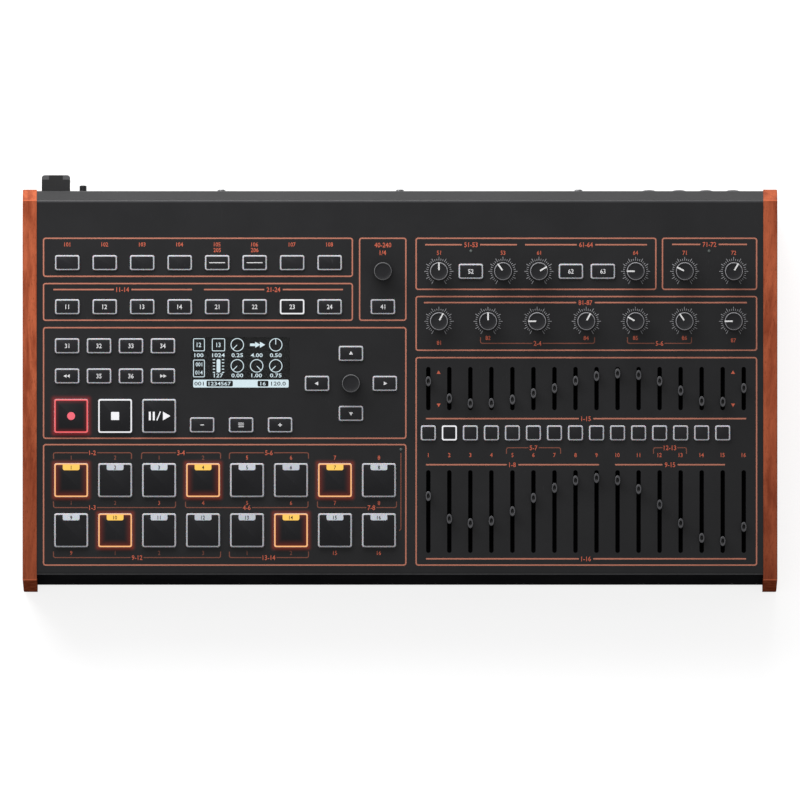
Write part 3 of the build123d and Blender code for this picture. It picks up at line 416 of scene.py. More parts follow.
@once
def hand_wear():
    """Wear from handling: faint fine scratches in two directions and soft finger marks."""
    inputs = (("Amount", "Float", 0.5),)
    tree, graph, given, out = group_tree("Hand wear", inputs, ("Scratches", "Marks"))
    lines = []
    for turn, stretch in ((0.5, (900, 14, 900)), (-0.9, (1200, 10, 1200))):
        place = graph.object_place(stretch, (0, 0, turn))
        lines.append(graph.spread(graph.noise(place, 1.0, 2.0), 0.68, 0.74))
    scratches = graph.math("MAXIMUM", *lines)
    area = graph.spread(graph.noise(graph.object_place(), 40.0, 2.0), 0.45, 0.7)
    scratches = graph.math("MULTIPLY", graph.math("MULTIPLY", scratches, area), given["Amount"])
    marks = graph.spread(graph.noise(graph.object_place(), 90.0, 3.0, 0.7), 0.45, 0.75)
    graph.feed(out["Scratches"], scratches)
    graph.feed(out["Marks"], graph.math("MULTIPLY", marks, given["Amount"]))
    return tree


LIT_EDGE = 0.4              # a lit key's square reaches this far past the key


@once
def lit_square():
    """A lit key, as masks: its own square, the light round it, and the light inside its edge."""
    inputs = (
        ("Centre", "Vector", (0, 0, 0)),
        ("Half Width", "Float", 10.0),
        ("Half Length", "Float", 10.0),
        ("Reach", "Float", 4.0),
    )
    tree, graph, given, out = group_tree("Lit square", inputs, ("Inside", "Halo", "Inner"))
    offset = graph.vector("SUBTRACT", graph.panel_place(), given["Centre"])
    on_top = graph.math("GREATER_THAN", graph.parts(offset)[2], 0.0)
    sides = graph.parts(graph.vector("ABSOLUTE", offset))
    past_u = graph.math("SUBTRACT", sides[0], given["Half Width"])
    past_v = graph.math("SUBTRACT", sides[1], given["Half Length"])
    nearest = graph.math("MAXIMUM", past_u, past_v)
    outer = (graph.math("MAXIMUM", past, 0.0) for past in (past_u, past_v))
    squares = (graph.math("POWER", past, 2.0) for past in outer)
    away = graph.math("SQRT", graph.math("ADD", *squares))
    inside = graph.math("MULTIPLY", graph.math("LESS_THAN", nearest, LIT_EDGE), on_top)
    fade_out = graph.math("SUBTRACT", 1.0, graph.math("DIVIDE", away, given["Reach"]), clamp=True)
    fade_in = graph.math("ADD", 1.0, graph.math("DIVIDE", nearest, given["Reach"]), clamp=True)
    graph.feed(out["Inside"], inside)
    graph.feed(out["Halo"], graph.math("POWER", fade_out, 2.0))
    graph.feed(out["Inner"], graph.math("MULTIPLY", graph.math("POWER", fade_in, 2.0), inside))
    return tree


def material(name, constants):
    """A new material with plain values set: the material, its graph and the shader's inputs."""
    made = bpy.data.materials.new(name)
    made.use_nodes = True
    shader = made.node_tree.nodes["Principled BSDF"]
    graph = Graph(made.node_tree)
    for key, value in constants.items():
        graph.feed(shader.inputs[key], value)
    return made, graph, shader.inputs


LIT_DEPTH = 0.35            # a rim shines down to this depth below its key's top


def lit_mask(graph, caps, output, reach=4.0):
    """Sum of one mask over several lit keys."""
    total = 0.0
    for cap in caps:
        inputs = {
            "Centre": (cap.u, cap.v, cap.top - LIT_DEPTH),
            "Half Width": cap.width / 2,
            "Half Length": cap.length / 2,
            "Reach": reach,
        }
        total = graph.math("ADD", total, graph.group(lit_square(), inputs)[output], clamp=True)
    return total


def coated(name, shade, roughness=0.5, grain=2500.0, depth=0.00003, specular=0.3, wear=0.3):
    """Powder coat or moulded plastic in one shade."""
    made, graph, shader = material(name, {"Specular IOR Level": specular})
    inputs = {"Grain Scale": grain, "Roughness": roughness, "Spread": 0.1}
    surface = graph.group(fine_grain(), inputs)
    worn = graph.group(hand_wear(), {"Amount": wear})
    paler = tuple(min(1.0, part * 1.5 + 0.004) for part in shade)
    base = graph.mix(graph.math("MULTIPLY", surface["Patches"], 0.35), shade, paler)
    scratched = tuple(min(1.0, part * 2.2 + 0.02) for part in shade)
    graph.feed(shader["Base Color"], graph.mix(worn["Scratches"], base, scratched))
    rough = graph.math("MULTIPLY_ADD", worn["Marks"], -0.12, surface["Roughness"])
    graph.feed(shader["Roughness"], rough)
    graph.feed(shader["Normal"], graph.bump(surface["Height"], 0.5, depth))
    return made, graph, shader


def plated(name, shade, roughness=0.25):
    """Nickel or zinc plated metal, with fine scratches and dull patches."""
    made, graph, shader = material(name, {"Metallic": 1.0})
    inputs = {"Grain Scale": 3500.0, "Roughness": roughness, "Spread": 0.2}
    surface = graph.group(fine_grain(), inputs)
    worn = graph.group(hand_wear(), {"Amount": 0.8})
    darker = tuple(part * 0.7 for part in shade)
    graph.feed(shader["Base Color"], graph.mix(surface["Patches"], shade, darker))
    rough = graph.math("MULTIPLY_ADD", worn["Scratches"], 0.3, surface["Roughness"])
    graph.feed(shader["Roughness"], rough)
    graph.feed(shader["Normal"], graph.bump(surface["Height"], 0.15, 0.00002))
    return made


def ink(name, shade, glow=0.0):
    """Screen print: slightly uneven cover, with some light through it where lit from below."""
    made, graph, shader = material(name, {"Specular IOR Level": 0.3, "Emission Strength": glow})
    surface = graph.group(fine_grain(), {"Grain Scale": 3000.0, "Roughness": 0.45, "Spread": 0.1})
    thin = tuple(part * 0.78 for part in shade)
    cover = graph.math("MULTIPLY", surface["Patches"], graph.spread(surface["Height"], 0.3, 0.7))
    print_colour = graph.mix(graph.math("MULTIPLY", cover, 0.6), shade, thin)
    graph.feed(shader["Base Color"], print_colour)
    if glow:
        graph.feed(shader["Emission Color"], print_colour)
    graph.feed(shader["Roughness"], surface["Roughness"])
    graph.feed(shader["Normal"], graph.bump(surface["Height"], 0.3, 0.00002))
    return made


def glowing(graph, shader, parts):
    """Light added over a surface: (mask, colour) pairs into the emission."""
    total = (0, 0, 0, 1)
    for mask, shade in parts:
        total = graph.mix(1.0, total, graph.mix(mask, (0, 0, 0), shade), "ADD")
    graph.feed(shader["Emission Color"], total)
    graph.feed(shader["Emission Strength"], 1.0)


def light_guide(name, shade, *lights):
    """Pale translucent plastic. Each light is some lit keys and the colour they shine in."""
    constants = {"Specular IOR Level": 0.5, "Subsurface Weight": 0.15, "Subsurface Scale": 0.001}
    made, graph, shader = material(name, constants)
    surface = graph.group(fine_grain(), {"Grain Scale": 1800.0, "Roughness": 0.38, "Spread": 0.08})
    base = graph.mix(surface["Patches"], tuple(shade), tuple(part * 0.86 for part in shade))
    shining = []
    for caps, light in lights:
        mask = lit_mask(graph, caps, "Inside")
        base = graph.mix(mask, base, (0.02, 0.02, 0.02))
        shining.append((mask, light))
    if shining:
        glowing(graph, shader, shining)
    graph.feed(shader["Base Color"], base)
    graph.feed(shader["Roughness"], surface["Roughness"])
    graph.feed(shader["Normal"], graph.bump(surface["Height"], 0.15, 0.00002))
    return made


# ================================================================ shapes
CORNER_STEPS = 4
CROWN_STEPS = 2
ROUND_STEPS = 28
FLAT = 0.001                # points this near in height are at one height
JOIN = 0.0001               # points this near are one point


def bevel(bm, geometry, offset, steps, affect):
    """Bevel edges or corners to a round."""
    bmesh.ops.bevel(
        bm, geom=geometry, offset=offset, offset_type="OFFSET", segments=steps, profile=0.5,
        affect=affect, clamp_overlap=True, material=-1,
    )


def thicken(bm, low, high):
    """Give flat faces at height zero a thickness between two heights."""
    raised = bmesh.ops.extrude_face_region(bm, geom=bm.faces[:])["geom"]
    top = [item for item in raised if isinstance(item, bmesh.types.BMVert)]
    bmesh.ops.translate(bm, verts=top, vec=(0, 0, high - low))
    bmesh.ops.translate(bm, verts=bm.verts, vec=(0, 0, low))
    bmesh.ops.recalc_face_normals(bm, faces=bm.faces)


def top_edges(bm, high):
    """Edges that lie at the top height."""
    return [e for e in bm.edges if all(v.co.z > high - FLAT for v in e.verts)]


def sheet(width, depth, corner=0.0):
    """A flat face with rounded corners, about the origin."""
    bm = bmesh.new()
    bmesh.ops.create_grid(bm, x_segments=1, y_segments=1, size=0.5)
    bm.transform(Matrix.Diagonal((width, depth, 1, 1)))
    if corner:
        bevel(bm, bm.verts[:], corner, CORNER_STEPS, "VERTICES")
    return bm


def slab(width, depth, low, high, corner=0.0, crown=0.0):
    """A closed plate with rounded corners and softened top edges."""
    bm = sheet(width, depth, corner)
    thicken(bm, low, high)
    if crown:
        bevel(bm, top_edges(bm, high), crown, CROWN_STEPS, "EDGES")
    return bm


def hollow(bm, line):
    """Leave of a flat face about the origin only a line along its edge."""
    faces = bm.faces[:]
    bmesh.ops.inset_region(
        bm, faces=faces, thickness=line, use_even_offset=True, use_boundary=True
    )
    inner = min(bm.faces, key=lambda face: face.calc_center_median().length)
    bmesh.ops.delete(bm, geom=[inner], context="FACES")
    return bm


def outline(width, depth, line, corner):
    """A flat frame line with rounded corners."""
    return hollow(sheet(width, depth, corner), line)


def cut(bm, point, normal):
    """Cut flat faces along a plane and drop what lies past it."""
    geometry = bm.verts[:] + bm.edges[:] + bm.faces[:]
    bmesh.ops.bisect_plane(bm, geom=geometry, plane_co=point, plane_no=normal, clear_outer=True)


def polygon(radius, sides):
    """A flat regular face about the origin."""
    bm = bmesh.new()
    bmesh.ops.create_circle(bm, cap_ends=True, radius=radius, segments=sides)
    return bm


def disc(radius, low, high, line=0.0, steps=ROUND_STEPS):
    """A closed round plate, or only a ring of the line's width."""
    bm = polygon(radius, steps)
    if line:
        hollow(bm, line)
    thicken(bm, low, high)
    return bm


def arrowhead(size, low, high, turn=0.0):
    """A closed triangle that points along u, turned by an angle."""
    bm = polygon(size, 3)
    tip = max(bm.verts, key=lambda v: v.co.y)
    bm.transform(Matrix.Rotation(turn - atan2(tip.co.y, tip.co.x), 4, "Z"))
    thicken(bm, low, high)
    return bm


def turned(profile, steps):
    """A closed body turned about the w axis from (radius, height) points."""
    bm = bmesh.new()
    verts = [bm.verts.new((radius, 0, height)) for radius, height in profile]
    edges = [bm.edges.new(pair) for pair in zip(verts, verts[1:])]
    bmesh.ops.spin(
        bm, geom=verts + edges, cent=(0, 0, 0), axis=(0, 0, 1), dvec=(0, 0, 0), angle=2 * pi,
        steps=steps, use_merge=True, use_duplicate=False,
    )
    bmesh.ops.remove_doubles(bm, verts=bm.verts, dist=JOIN)
    bmesh.ops.recalc_face_normals(bm, faces=bm.faces)
    return bm


NARROW = 0.9                # digits are this much narrower than the font's own
HEAVIER = 0.012             # stroke added to the font's own, in its units
glyphs = {}


def text_mesh(text):
    """A number as a flat mesh about its own centre, one unit high."""
    if text not in glyphs:
        curve = bpy.data.curves.new("number", "FONT")
        curve.body = text
        curve.align_x = "CENTER"
        curve.resolution_u = 2
        curve.offset = HEAVIER
        holder = bpy.data.objects.new("number", curve)
        bpy.context.scene.collection.objects.link(holder)
        mesh = bpy.data.meshes.new_from_object(holder)
        bpy.data.objects.remove(holder)
        bpy.data.curves.remove(curve)
        glyphs[text] = mesh
    return glyphs[text]


def digit_height():
    """Height of a plain digit of the font, from its foot."""
    return max(v.co.y for v in text_mesh("8").vertices)


def number(text, size, low, high, width=NARROW):
    """A printed number with some thickness, centred."""
    bm = bmesh.new()
    bm.from_mesh(text_mesh(text))
    bmesh.ops.remove_doubles(bm, verts=bm.verts, dist=JOIN)
    middle = (min(v.co.x for v in bm.verts) + max(v.co.x for v in bm.verts)) / 2
    scale = size / digit_height()
    bm.transform(Matrix.Translation((-middle, -digit_height() / 2, 0)))
    bm.transform(Matrix.Diagonal((scale * width, scale, 1, 1)))
    thicken(bm, low, high)
    return bm


def text_width(text, size):
    """Width of a printed number."""
    xs = [v.co.x for v in text_mesh(text).vertices]
    return (max(xs) - min(xs)) * NARROW * size / digit_height()


SMOOTH_UNDER = radians(32)      # edges that turn by more than this stay sharp


class Piece:
    """Closed shapes gathered into one object that rides on a body."""

    def __init__(self, name, body, slot, *materials):
        self.name, self.body, self.slot = name, body, slot
        self.materials = materials
        self.bm = bmesh.new()

    def add(self, shape, place=None, surface=0):
        """Take in a shape at its place, with the piece's surface of that number."""
        if place is not None:
            shape.transform(place)
        for face in shape.faces:
            face.material_index += surface
        mesh = bpy.data.meshes.new("shape")
        shape.to_mesh(mesh)
        shape.free()
        self.bm.from_mesh(mesh)
        bpy.data.meshes.remove(mesh)

    def finish(self, matrix=PANEL, replaces=()):
        """Make the object, at its place in the frame."""
        self.bm.transform(matrix)
        for face in self.bm.faces:
            face.smooth = True
        mesh = bpy.data.meshes.new(self.name)
        self.bm.to_mesh(mesh)
        self.bm.free()
        mesh.set_sharp_from_angle(angle=SMOOTH_UNDER)
        for surface in self.materials:
            mesh.materials.append(surface)
        made = bpy.data.objects.new(self.name, mesh)
        bpy.context.scene.collection.objects.link(made)
        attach(made, self.body)
        if replaces:
            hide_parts(*replaces)


def at(u, v, turn=0.0):
    """A place on the panel."""
    return Matrix.Translation((u, v, 0)) @ Matrix.Rotation(turn, 4, "Z")


def dress(node, surface):
    """Give a CAD node its material."""
    data = frame["nodes"][node].data
    data.materials.clear()
    data.materials.append(surface)


# ================================================================ what is lit, and where caps stand
LIT_PADS = {"pads_1_to_8": (0, 3, 6), "pads_9_to_16": (1, 5)}
LIT_KEYS = {"edit_keys": (6,), "voice_keys": (1,)}
RECORD = 0                  # the record key's place among the transport keys
FADERS = [f"level_fader_{channel:02d}" for channel in range(1, 17)]
PAN_NODES = [f"pan_sliders_{place}" for place in ("far_left", "centre", "right", "far_right")]


@once
def all_caps():
    """The caps of every key and pad node."""
    names = [*LEGENDS, *LIT_PADS, "transport_keys"]
    return {name: caps_of(name) for name in names}


def lit_pads():
    """Caps of all lit pads."""
    return [all_caps()[name][i] for name, places in LIT_PADS.items() for i in places]


# ================================================================ case
FOLD_HIGHLIGHT_REACH = 0.7             # how far from a fold or a cheek edge the painted highlight reaches
FRONT_FOLD = 0.2            # middle of the front fold, along v
PAD_HALO = 3.3              # how far a lit pad's light reaches over the panel
RECORD_HALO = 3.4


def panel_coat():
    """Black paint: lacquered on top, with a painted highlight along its folds, lit by the lit keys."""
    case, keys = look("case"), look("keys")
    made, graph, shader = coated(
        "panel_coat", tuple(case.paint), 0.62, grain=1900.0, depth=0.00005, specular=0.0
    )
    row = graph.row()
    graph.feed(shader["Coat Roughness"], 0.4)
    graph.feed(shader["Coat Weight"], graph.spread(row, -0.2, 0.5))
    # painted highlight along the front fold and the rear crest, where light catches the bends
    for fold in (FRONT_FOLD, CREST):
        fold_highlight_share = graph.line_at(row, fold, FOLD_HIGHLIGHT_REACH, 0.7)
        graph.over(shader["Base Color"], fold_highlight_share, tuple(case.fold_highlight))
    pads = lit_mask(graph, lit_pads(), "Halo", PAD_HALO)
    record = lit_mask(graph, [all_caps()["transport_keys"][RECORD]], "Halo", RECORD_HALO)
    glowing(graph, shader, [(pads, tuple(keys.pad_glow)), (record, tuple(keys.record_glow))])
    return made


CHEEK_FRONT = -3.6          # front edge of the cheeks' upper side, along v
CHEEK_CREST = 246.9         # their rear crest
# painted shade on the wood starts here and deepens towards the front
PAINTED_SHADE_FROM = 150.0             # the wood darkens towards its front from here


def oiled_wood():
    """Reddish hardwood with its grain from front to rear, oiled on top, with painted shade towards the front and a
    painted highlight along its front edge and rear crest.
    """
    case = look("case")
    constants = {"Specular IOR Level": 0.0, "Coat Roughness": 0.35}
    made, graph, shader = material("oiled_wood", constants)
    drift = graph.noise(graph.object_place((30, 5, 30)), 1.0, 3.0)
    drifted = graph.vector("ADD", graph.object_place((60, 3.2, 60)), drift)
    rings = graph.noise(drifted, 3.2, 5.0, 0.62)
    fibres = graph.noise(graph.object_place((1500, 28, 1500)), 1.0, 3.0, 0.7)
    pores = graph.spread(graph.noise(graph.object_place((2600, 95, 2600)), 1.0, 1.0), 0.62, 0.72)
    dark, light = tuple(case.wood_dark), tuple(case.wood_light)
    row = graph.row()
    base = graph.mix(graph.spread(rings, 0.3, 0.68), dark, light)
    layers = (
        (graph.spread(fibres, 0.35, 0.75, 0.0, 0.4), light, 0.6),
        (graph.math("MULTIPLY", pores, 0.5), dark, 0.45),
        # painted shade: darker towards the front, where less light falls
        (graph.spread(row, CHEEK_FRONT, PAINTED_SHADE_FROM, 0.42, 0.0), dark, 0.35),
    )
    for share, shade, darker in layers:
        base = graph.mix(share, base, tuple(part * darker for part in shade))
    graph.feed(shader["Base Color"], base)
    paler = tuple(min(1.0, part * 1.5) for part in light)
    # painted highlights along the cheeks' front edge and rear crest
    for edge in (CHEEK_FRONT, CHEEK_CREST):
        graph.over(shader["Base Color"], graph.line_at(row, edge, FOLD_HIGHLIGHT_REACH, 0.6), paler)
    graph.feed(shader["Roughness"], graph.spread(fibres, 0.2, 0.8, 0.38, 0.55))
    on_top = graph.spread(row, CHEEK_FRONT - 0.3, CHEEK_FRONT + 0.3)
    oil = graph.spread(rings, 0.2, 0.8, 0.4, 0.2)
    graph.feed(shader["Coat Weight"], graph.math("MULTIPLY", oil, on_top))
    height = graph.math("SUBTRACT", fibres, pores)
    graph.feed(shader["Normal"], graph.bump(height, 0.35, 0.00008))
    return made


def green_board():
    """Circuit board: solder mask over tracks, with tinned pads."""
    made, graph, shader = material("green_board", {"Specular IOR Level": 0.5})
    place = graph.object_place((420, 420, 420))
    inputs = {"Vector": place, "Scale": 1.0, "Mortar Size": 0.06}
    tracks = graph.add("TexBrick", inputs).outputs["Fac"]
    dots = graph.add("TexVoronoi", {"Vector": place, "Scale": 0.55}).outputs["Distance"]
    mask = graph.mix(tracks, tone(12, 84, 44), tone(26, 118, 60))
    tinned = graph.math("LESS_THAN", dots, 0.16)
    graph.feed(shader["Base Color"], graph.mix(tinned, mask, tone(178, 178, 170)))
    graph.feed(shader["Roughness"], graph.spread(dots, 0.1, 0.5, 0.25, 0.4))
    return made


def window_glass():
    """Clear hard-coated window."""
    constants = {"Transmission Weight": 1.0, "IOR": 1.49, "Base Color": (0.96, 0.98, 0.98)}
    made, graph, shader = material("window_glass", constants)
    worn = graph.group(hand_wear(), {"Amount": 0.5})
    graph.feed(shader["Roughness"], graph.math("MULTIPLY_ADD", worn["Marks"], 0.05, 0.01))
    return made


def display_ground(name, roughness):
    """Dark even ground of the display."""
    shade = tuple(look("display").ground)
    return coated(name, shade, roughness, grain=3000.0, depth=0.00001, wear=0.0)[0]


def control_bodies():
    """Steel rotary controls, and near-black slide controls under the mixer: partly their black dust shields,
    partly painted shade where they show through the slots.
    """
    # near-black: the slide controls' dust shields, darkened further as painted shade in the slots
    made, graph, shader = coated(
        "control_bodies", tone(9, 9, 10), 0.8, grain=900.0, depth=0.0001, specular=0.05, wear=0.1
    )
    steel = graph.math("GREATER_THAN", graph.row(), FRAMES["mixer"][3])
    graph.over(shader["Base Color"], steel, tone(118, 118, 120))
    graph.feed(shader["Metallic"], steel)
    return made


LENS_FOOT = -4.0            # lamp lenses start at this height


def switches_and_lenses():
    """Black switch bodies, with lamp lenses where the node comes up through the panel."""
    black = tone(26, 26, 28)
    made, graph, shader = coated("switches_and_lenses", black, 0.5)
    lens = graph.math("GREATER_THAN", graph.parts(graph.panel_place())[2], LENS_FOOT)
    graph.feed(shader["Base Color"], graph.mix(lens, black, tuple(look("display").lamp)))
    graph.feed(shader["Roughness"], graph.spread(lens, 0.0, 1.0, 0.5, 0.2))
    return made


HOOK_LIP = 3.0              # thickness of the hook's lip
HOOK_MIDDLE = 4.6           # half the width of the lip's dark middle
HOOK_ENDS = tone(80, 80, 82)


def hook_plastic():
    """Black moulded hook, with paler ends to its lip."""
    black = tone(24, 24, 25)
    made, graph, shader = coated("hook_plastic", black, 0.5, grain=1500.0, depth=0.00004)
    low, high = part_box("cord_hook")
    sides = graph.parts(graph.object_place())
    aside = graph.math("ABSOLUTE", graph.math("SUBTRACT", sides[0], (low.x + high.x) / 2))
    ends = graph.math("GREATER_THAN", aside, HOOK_MIDDLE * MM)
    on_lip = graph.math("GREATER_THAN", sides[1], high.y - HOOK_LIP * MM)
    graph.over(shader["Base Color"], graph.math("MULTIPLY", ends, on_lip), HOOK_ENDS)
    return made


def foot_rubber():
    """Matt black rubber."""
    black = tone(30, 30, 30)
    return coated("foot_rubber", black, 0.75, grain=900.0, depth=0.0001, specular=0.2)[0]


class DRUM_OT_case(bpy.types.Operator):
    """Paint the panel and base, and finish the cheeks, feet, screws and boards"""

    bl_idname = "drum_machine.case"
    bl_label = "Case"

    def execute(self, context):
        case = look("case")
        wood = oiled_wood()
        board = green_board()
        surfaces = {
            "top_panel": panel_coat(),
            "base_pan": coated("base_coat", tuple(part * 0.8 for part in case.paint), 0.6)[0],
            "left_cheek": wood,
            "right_cheek": wood,
            "rubber_feet": foot_rubber(),
            "screws_and_studs": plated("zinc_plate", tuple(case.metal), 0.32),
            "control_board": board,
            "main_board": board,
            "potentiometers": control_bodies(),
            "switches_and_lamps": switches_and_lenses(),
            "display_module": display_ground("display_ground", 0.25),
            "display_window": window_glass(),
            "cord_hook": hook_plastic(),
        }
        for node, surface in surfaces.items():
            dress(node, surface)
        return {"FINISHED"}


# ================================================================ print on the panel
FRAME_CORNER = 1.8
PRINT_SUNK = 0.02           # print and faces start this far inside what they lie on
# section frames: left, right, front and rear edges
FRAMES = {
    "function_keys": (-235.7, -31.0, 196.4, 222.4),
    "edit_keys": (-235.7, -31.0, 167.4, 192.5),
    "tempo": (-27.1, 4.3, 167.4, 222.4),
    "programming": (-235.7, 4.3, 89.5, 163.4),
    "pads": (-235.7, 4.3, 5.8, 86.2),
    "shaping": (10.2, 169.3, 187.8, 222.4),
    "volume": (172.8, 235.8, 187.8, 222.4),
    "tuning": (10.2, 235.8, 147.6, 183.9),
    "mixer": (10.2, 235.8, 5.8, 143.6),
}
# lines with a title in their middle: left, right, row, title
TITLES = (
    (-228.8, -137.3, 188.1, "11-14"),
    (-129.4, -37.6, 188.1, "21-24"),
    (16.5, 77.2, 217.7, "51-53"),
    (82.5, 163.0, 217.7, "61-64"),
    (179.5, 229.0, 217.9, "71-72"),
    (15.8, 229.0, 179.5, "81-87"),
    (17.2, 228.4, 102.9, "1-15"),
    (17.2, 131.3, 72.5, "1-8"),
    (141.9, 214.5, 72.5, "9-15"),
    (17.2, 228.4, 10.4, "1-16"),
)
BRACKET_CORNER = 1.5
BRACKET_ARM = 4.0
UP, DOWN = 1, -1
# brackets: left, right, row, side that the arms point to, title and where it stands
BRACKETS = (
    (52.8, 128.7, 152.6, UP, "2-4", 0.5),
    (149.8, 192.7, 152.6, UP, "5-6", 0.5),
    (70.0, 106.3, 83.7, DOWN, "5-7", 0.5),
    (167.0, 189.4, 83.7, DOWN, "12-13", 0.5),
    (-229.0, -176.9, 80.4, DOWN, "1-2", 0.5),
    (-170.9, -118.1, 80.4, DOWN, "3-4", 0.5),
    (-112.9, -60.1, 80.4, DOWN, "5-6", 0.5),
    (-229.0, -147.8, 44.2, UP, "1-3", 0.32),
    (-141.9, -60.4, 44.2, UP, "4-6", 0.5),
    (-54.8, -2.0, 44.2, UP, "7-8", 0.68),
    (-229.0, -118.1, 11.2, UP, "9-12", 0.5),
    (-112.9, -60.1, 11.2, UP, "13-14", 0.5),
)
TITLE_GAP = 1.6
PAD_LINE = (0.6, 30.1, 80.2)    # line from the pads' lamp: column, front end and rear end
PAD_LINE_HOOK = 1.7         # length of the short stroke at its front end
PAD_LINE_TURN = radians(-40)
KNOB_SCALE = (7.1, 9.6)     # inner and outer radius of the tick marks
SHORT_TICK = 8.4            # outer radius of the short ones
TICK_STEP = 10              # degrees
LONG_TICK_EVERY = 3
TICK_WIDTH = 0.4


def printed_bar(u0, u1, v, width, top):
    """A straight printed line along u."""
    return slab(u1 - u0, width, -PRINT_SUNK, top), at((u0 + u1) / 2, v)


def bracket(left, right, row, side, gap, line, top):
    """A printed bracket with rounded corners, open on one side and broken for its title."""
    width = right - left
    bm = outline(width, 4 * BRACKET_ARM, line, BRACKET_CORNER)
    bm.transform(at((left + right) / 2, row + side * 2 * BRACKET_ARM - side * line / 2))
    cut(bm, (0, row + side * BRACKET_ARM, 0), (0, side, 0))
    halves = []
    for edge, normal in zip(gap, (1, -1)):
        half = bm.copy()
        cut(half, (edge, 0, 0), (normal, 0, 0))
        thicken(half, -PRINT_SUNK, top)
        halves.append(half)
    bm.free()
    return halves


class DRUM_OT_print(bpy.types.Operator):
    """Print the frames, title lines, brackets and knob scales on the panel"""

    bl_idname = "drum_machine.print_lines"
    bl_label = "Printed lines"

    def execute(self, context):
        style = look("print")
        top = style.thickness / MM
        orange = ink("frame_ink", tuple(style.ink))
        red = ink("title_ink", tuple(style.number_ink))
        frames = Piece("printed_frames", "case", "panel_paint", orange, red)
        for left, right, front, rear in FRAMES.values():
            shape = outline(right - left, rear - front, style.frame_line / MM, FRAME_CORNER)
            thicken(shape, -PRINT_SUNK, top)
            frames.add(shape, at((left + right) / 2, (front + rear) / 2))
        digit = style.digit / MM
        line = style.title_line / MM
        for left, right, row, title in TITLES:
            half_gap = text_width(title, digit) / 2 + TITLE_GAP
            middle = (left + right) / 2
            frames.add(*printed_bar(left, middle - half_gap, row, line, top))
            frames.add(*printed_bar(middle + half_gap, right, row, line, top))
            frames.add(number(title, digit, -PRINT_SUNK, top), at(middle, row), 1)
        frames.finish()

        dull = ink("bracket_ink", tuple(style.bracket_ink))
        brackets = Piece("printed_brackets", "case", "panel_paint", dull, red)
        line = style.bracket_line / MM
        for left, right, row, side, title, share in BRACKETS:
            middle = left + share * (right - left)
            half_gap = text_width(title, digit) / 2 + TITLE_GAP / 2
            gap = (middle - half_gap, middle + half_gap)
            for half in bracket(left, right, row, side, gap, line, top):
                brackets.add(half)
            brackets.add(number(title, digit, -PRINT_SUNK, top), at(middle, row), 1)
        column, front, rear = PAD_LINE
        brackets.add(slab(line, rear - front, -PRINT_SUNK, top), at(column, (front + rear) / 2))
        hook = slab(line, PAD_LINE_HOOK, -PRINT_SUNK, top, corner=line / 3)
        hook.transform(Matrix.Translation((0, -PAD_LINE_HOOK / 2, 0)))
        brackets.add(hook, at(column, front, PAD_LINE_TURN))
        brackets.finish()

        grey = ink("scale_ink", tuple(style.scale_ink))
        scales = Piece("knob_scales", "case", "panel_paint", grey)
        for name in knob_names():
            turn_joint = joint(f"{name}_turn")
            place = TO_PANEL @ Vector(turn_joint["pos_m"])
            low, high = turn_joint["range_deg"]
            sweep = (high - low) / 2
            inner, long_end = KNOB_SCALE
            for i in range(round(2 * sweep / TICK_STEP) + 1):
                outer = SHORT_TICK if i % LONG_TICK_EVERY else long_end
                tick = slab(TICK_WIDTH, outer - inner, -PRINT_SUNK, top)
                tick.transform(Matrix.Translation((0, (outer + inner) / 2, 0)))
                scales.add(tick, at(place.x, place.y, radians(sweep - i * TICK_STEP)))
        scales.finish()
        return {"FINISHED"}


FUNCTION_ROWS = (217.9, 214.2)
FUNCTION_NUMBERS = (101, 201)   # first number of each row
TWO_ROW_KEYS = (4, 5)       # function keys with a number in both rows
ABOVE_KNOB = 212.4
PAD_LABEL_ROWS = (77.2, 47.3, 14.3)
CHANNEL_ROW = 78.9
# numbers at the pads, row by row: the ones in brackets count within a group
PAD_LABELS = (
    ("(1)", "(2)", "(1)", "(2)", "5", "6", "7", "8"),
    ("(1)", "(2)", "3", "4", "5", "6", "7", "8"),
    ("9", "(1)", "(2)", "(3)", "(1)", "(2)", "15", "16"),
)
UPPER_KNOB_LABELS = ("51", "53", "61", "64", "71", "72")
# numbers below the tuning knobs and their rows: the third knob's place holds a bracket's title
TUNE_ROW = 156.2
TUNE_LABELS = (
    ("81", 153.0),
    ("82", TUNE_ROW),
    None,
    ("84", TUNE_ROW),
    ("85", TUNE_ROW),
    ("86", TUNE_ROW),
    ("87", 154.6),
)
TEMPO_ROWS = (("40-240", 217.5), ("1/4", 212.5))
PAN_MARKS = ((133.2, pi / 2), (112.1, -pi / 2))     # row and direction of the arrowheads
PAN_MARK_COLUMNS = (25.5, 219.8)
PAN_MARK = 1.5


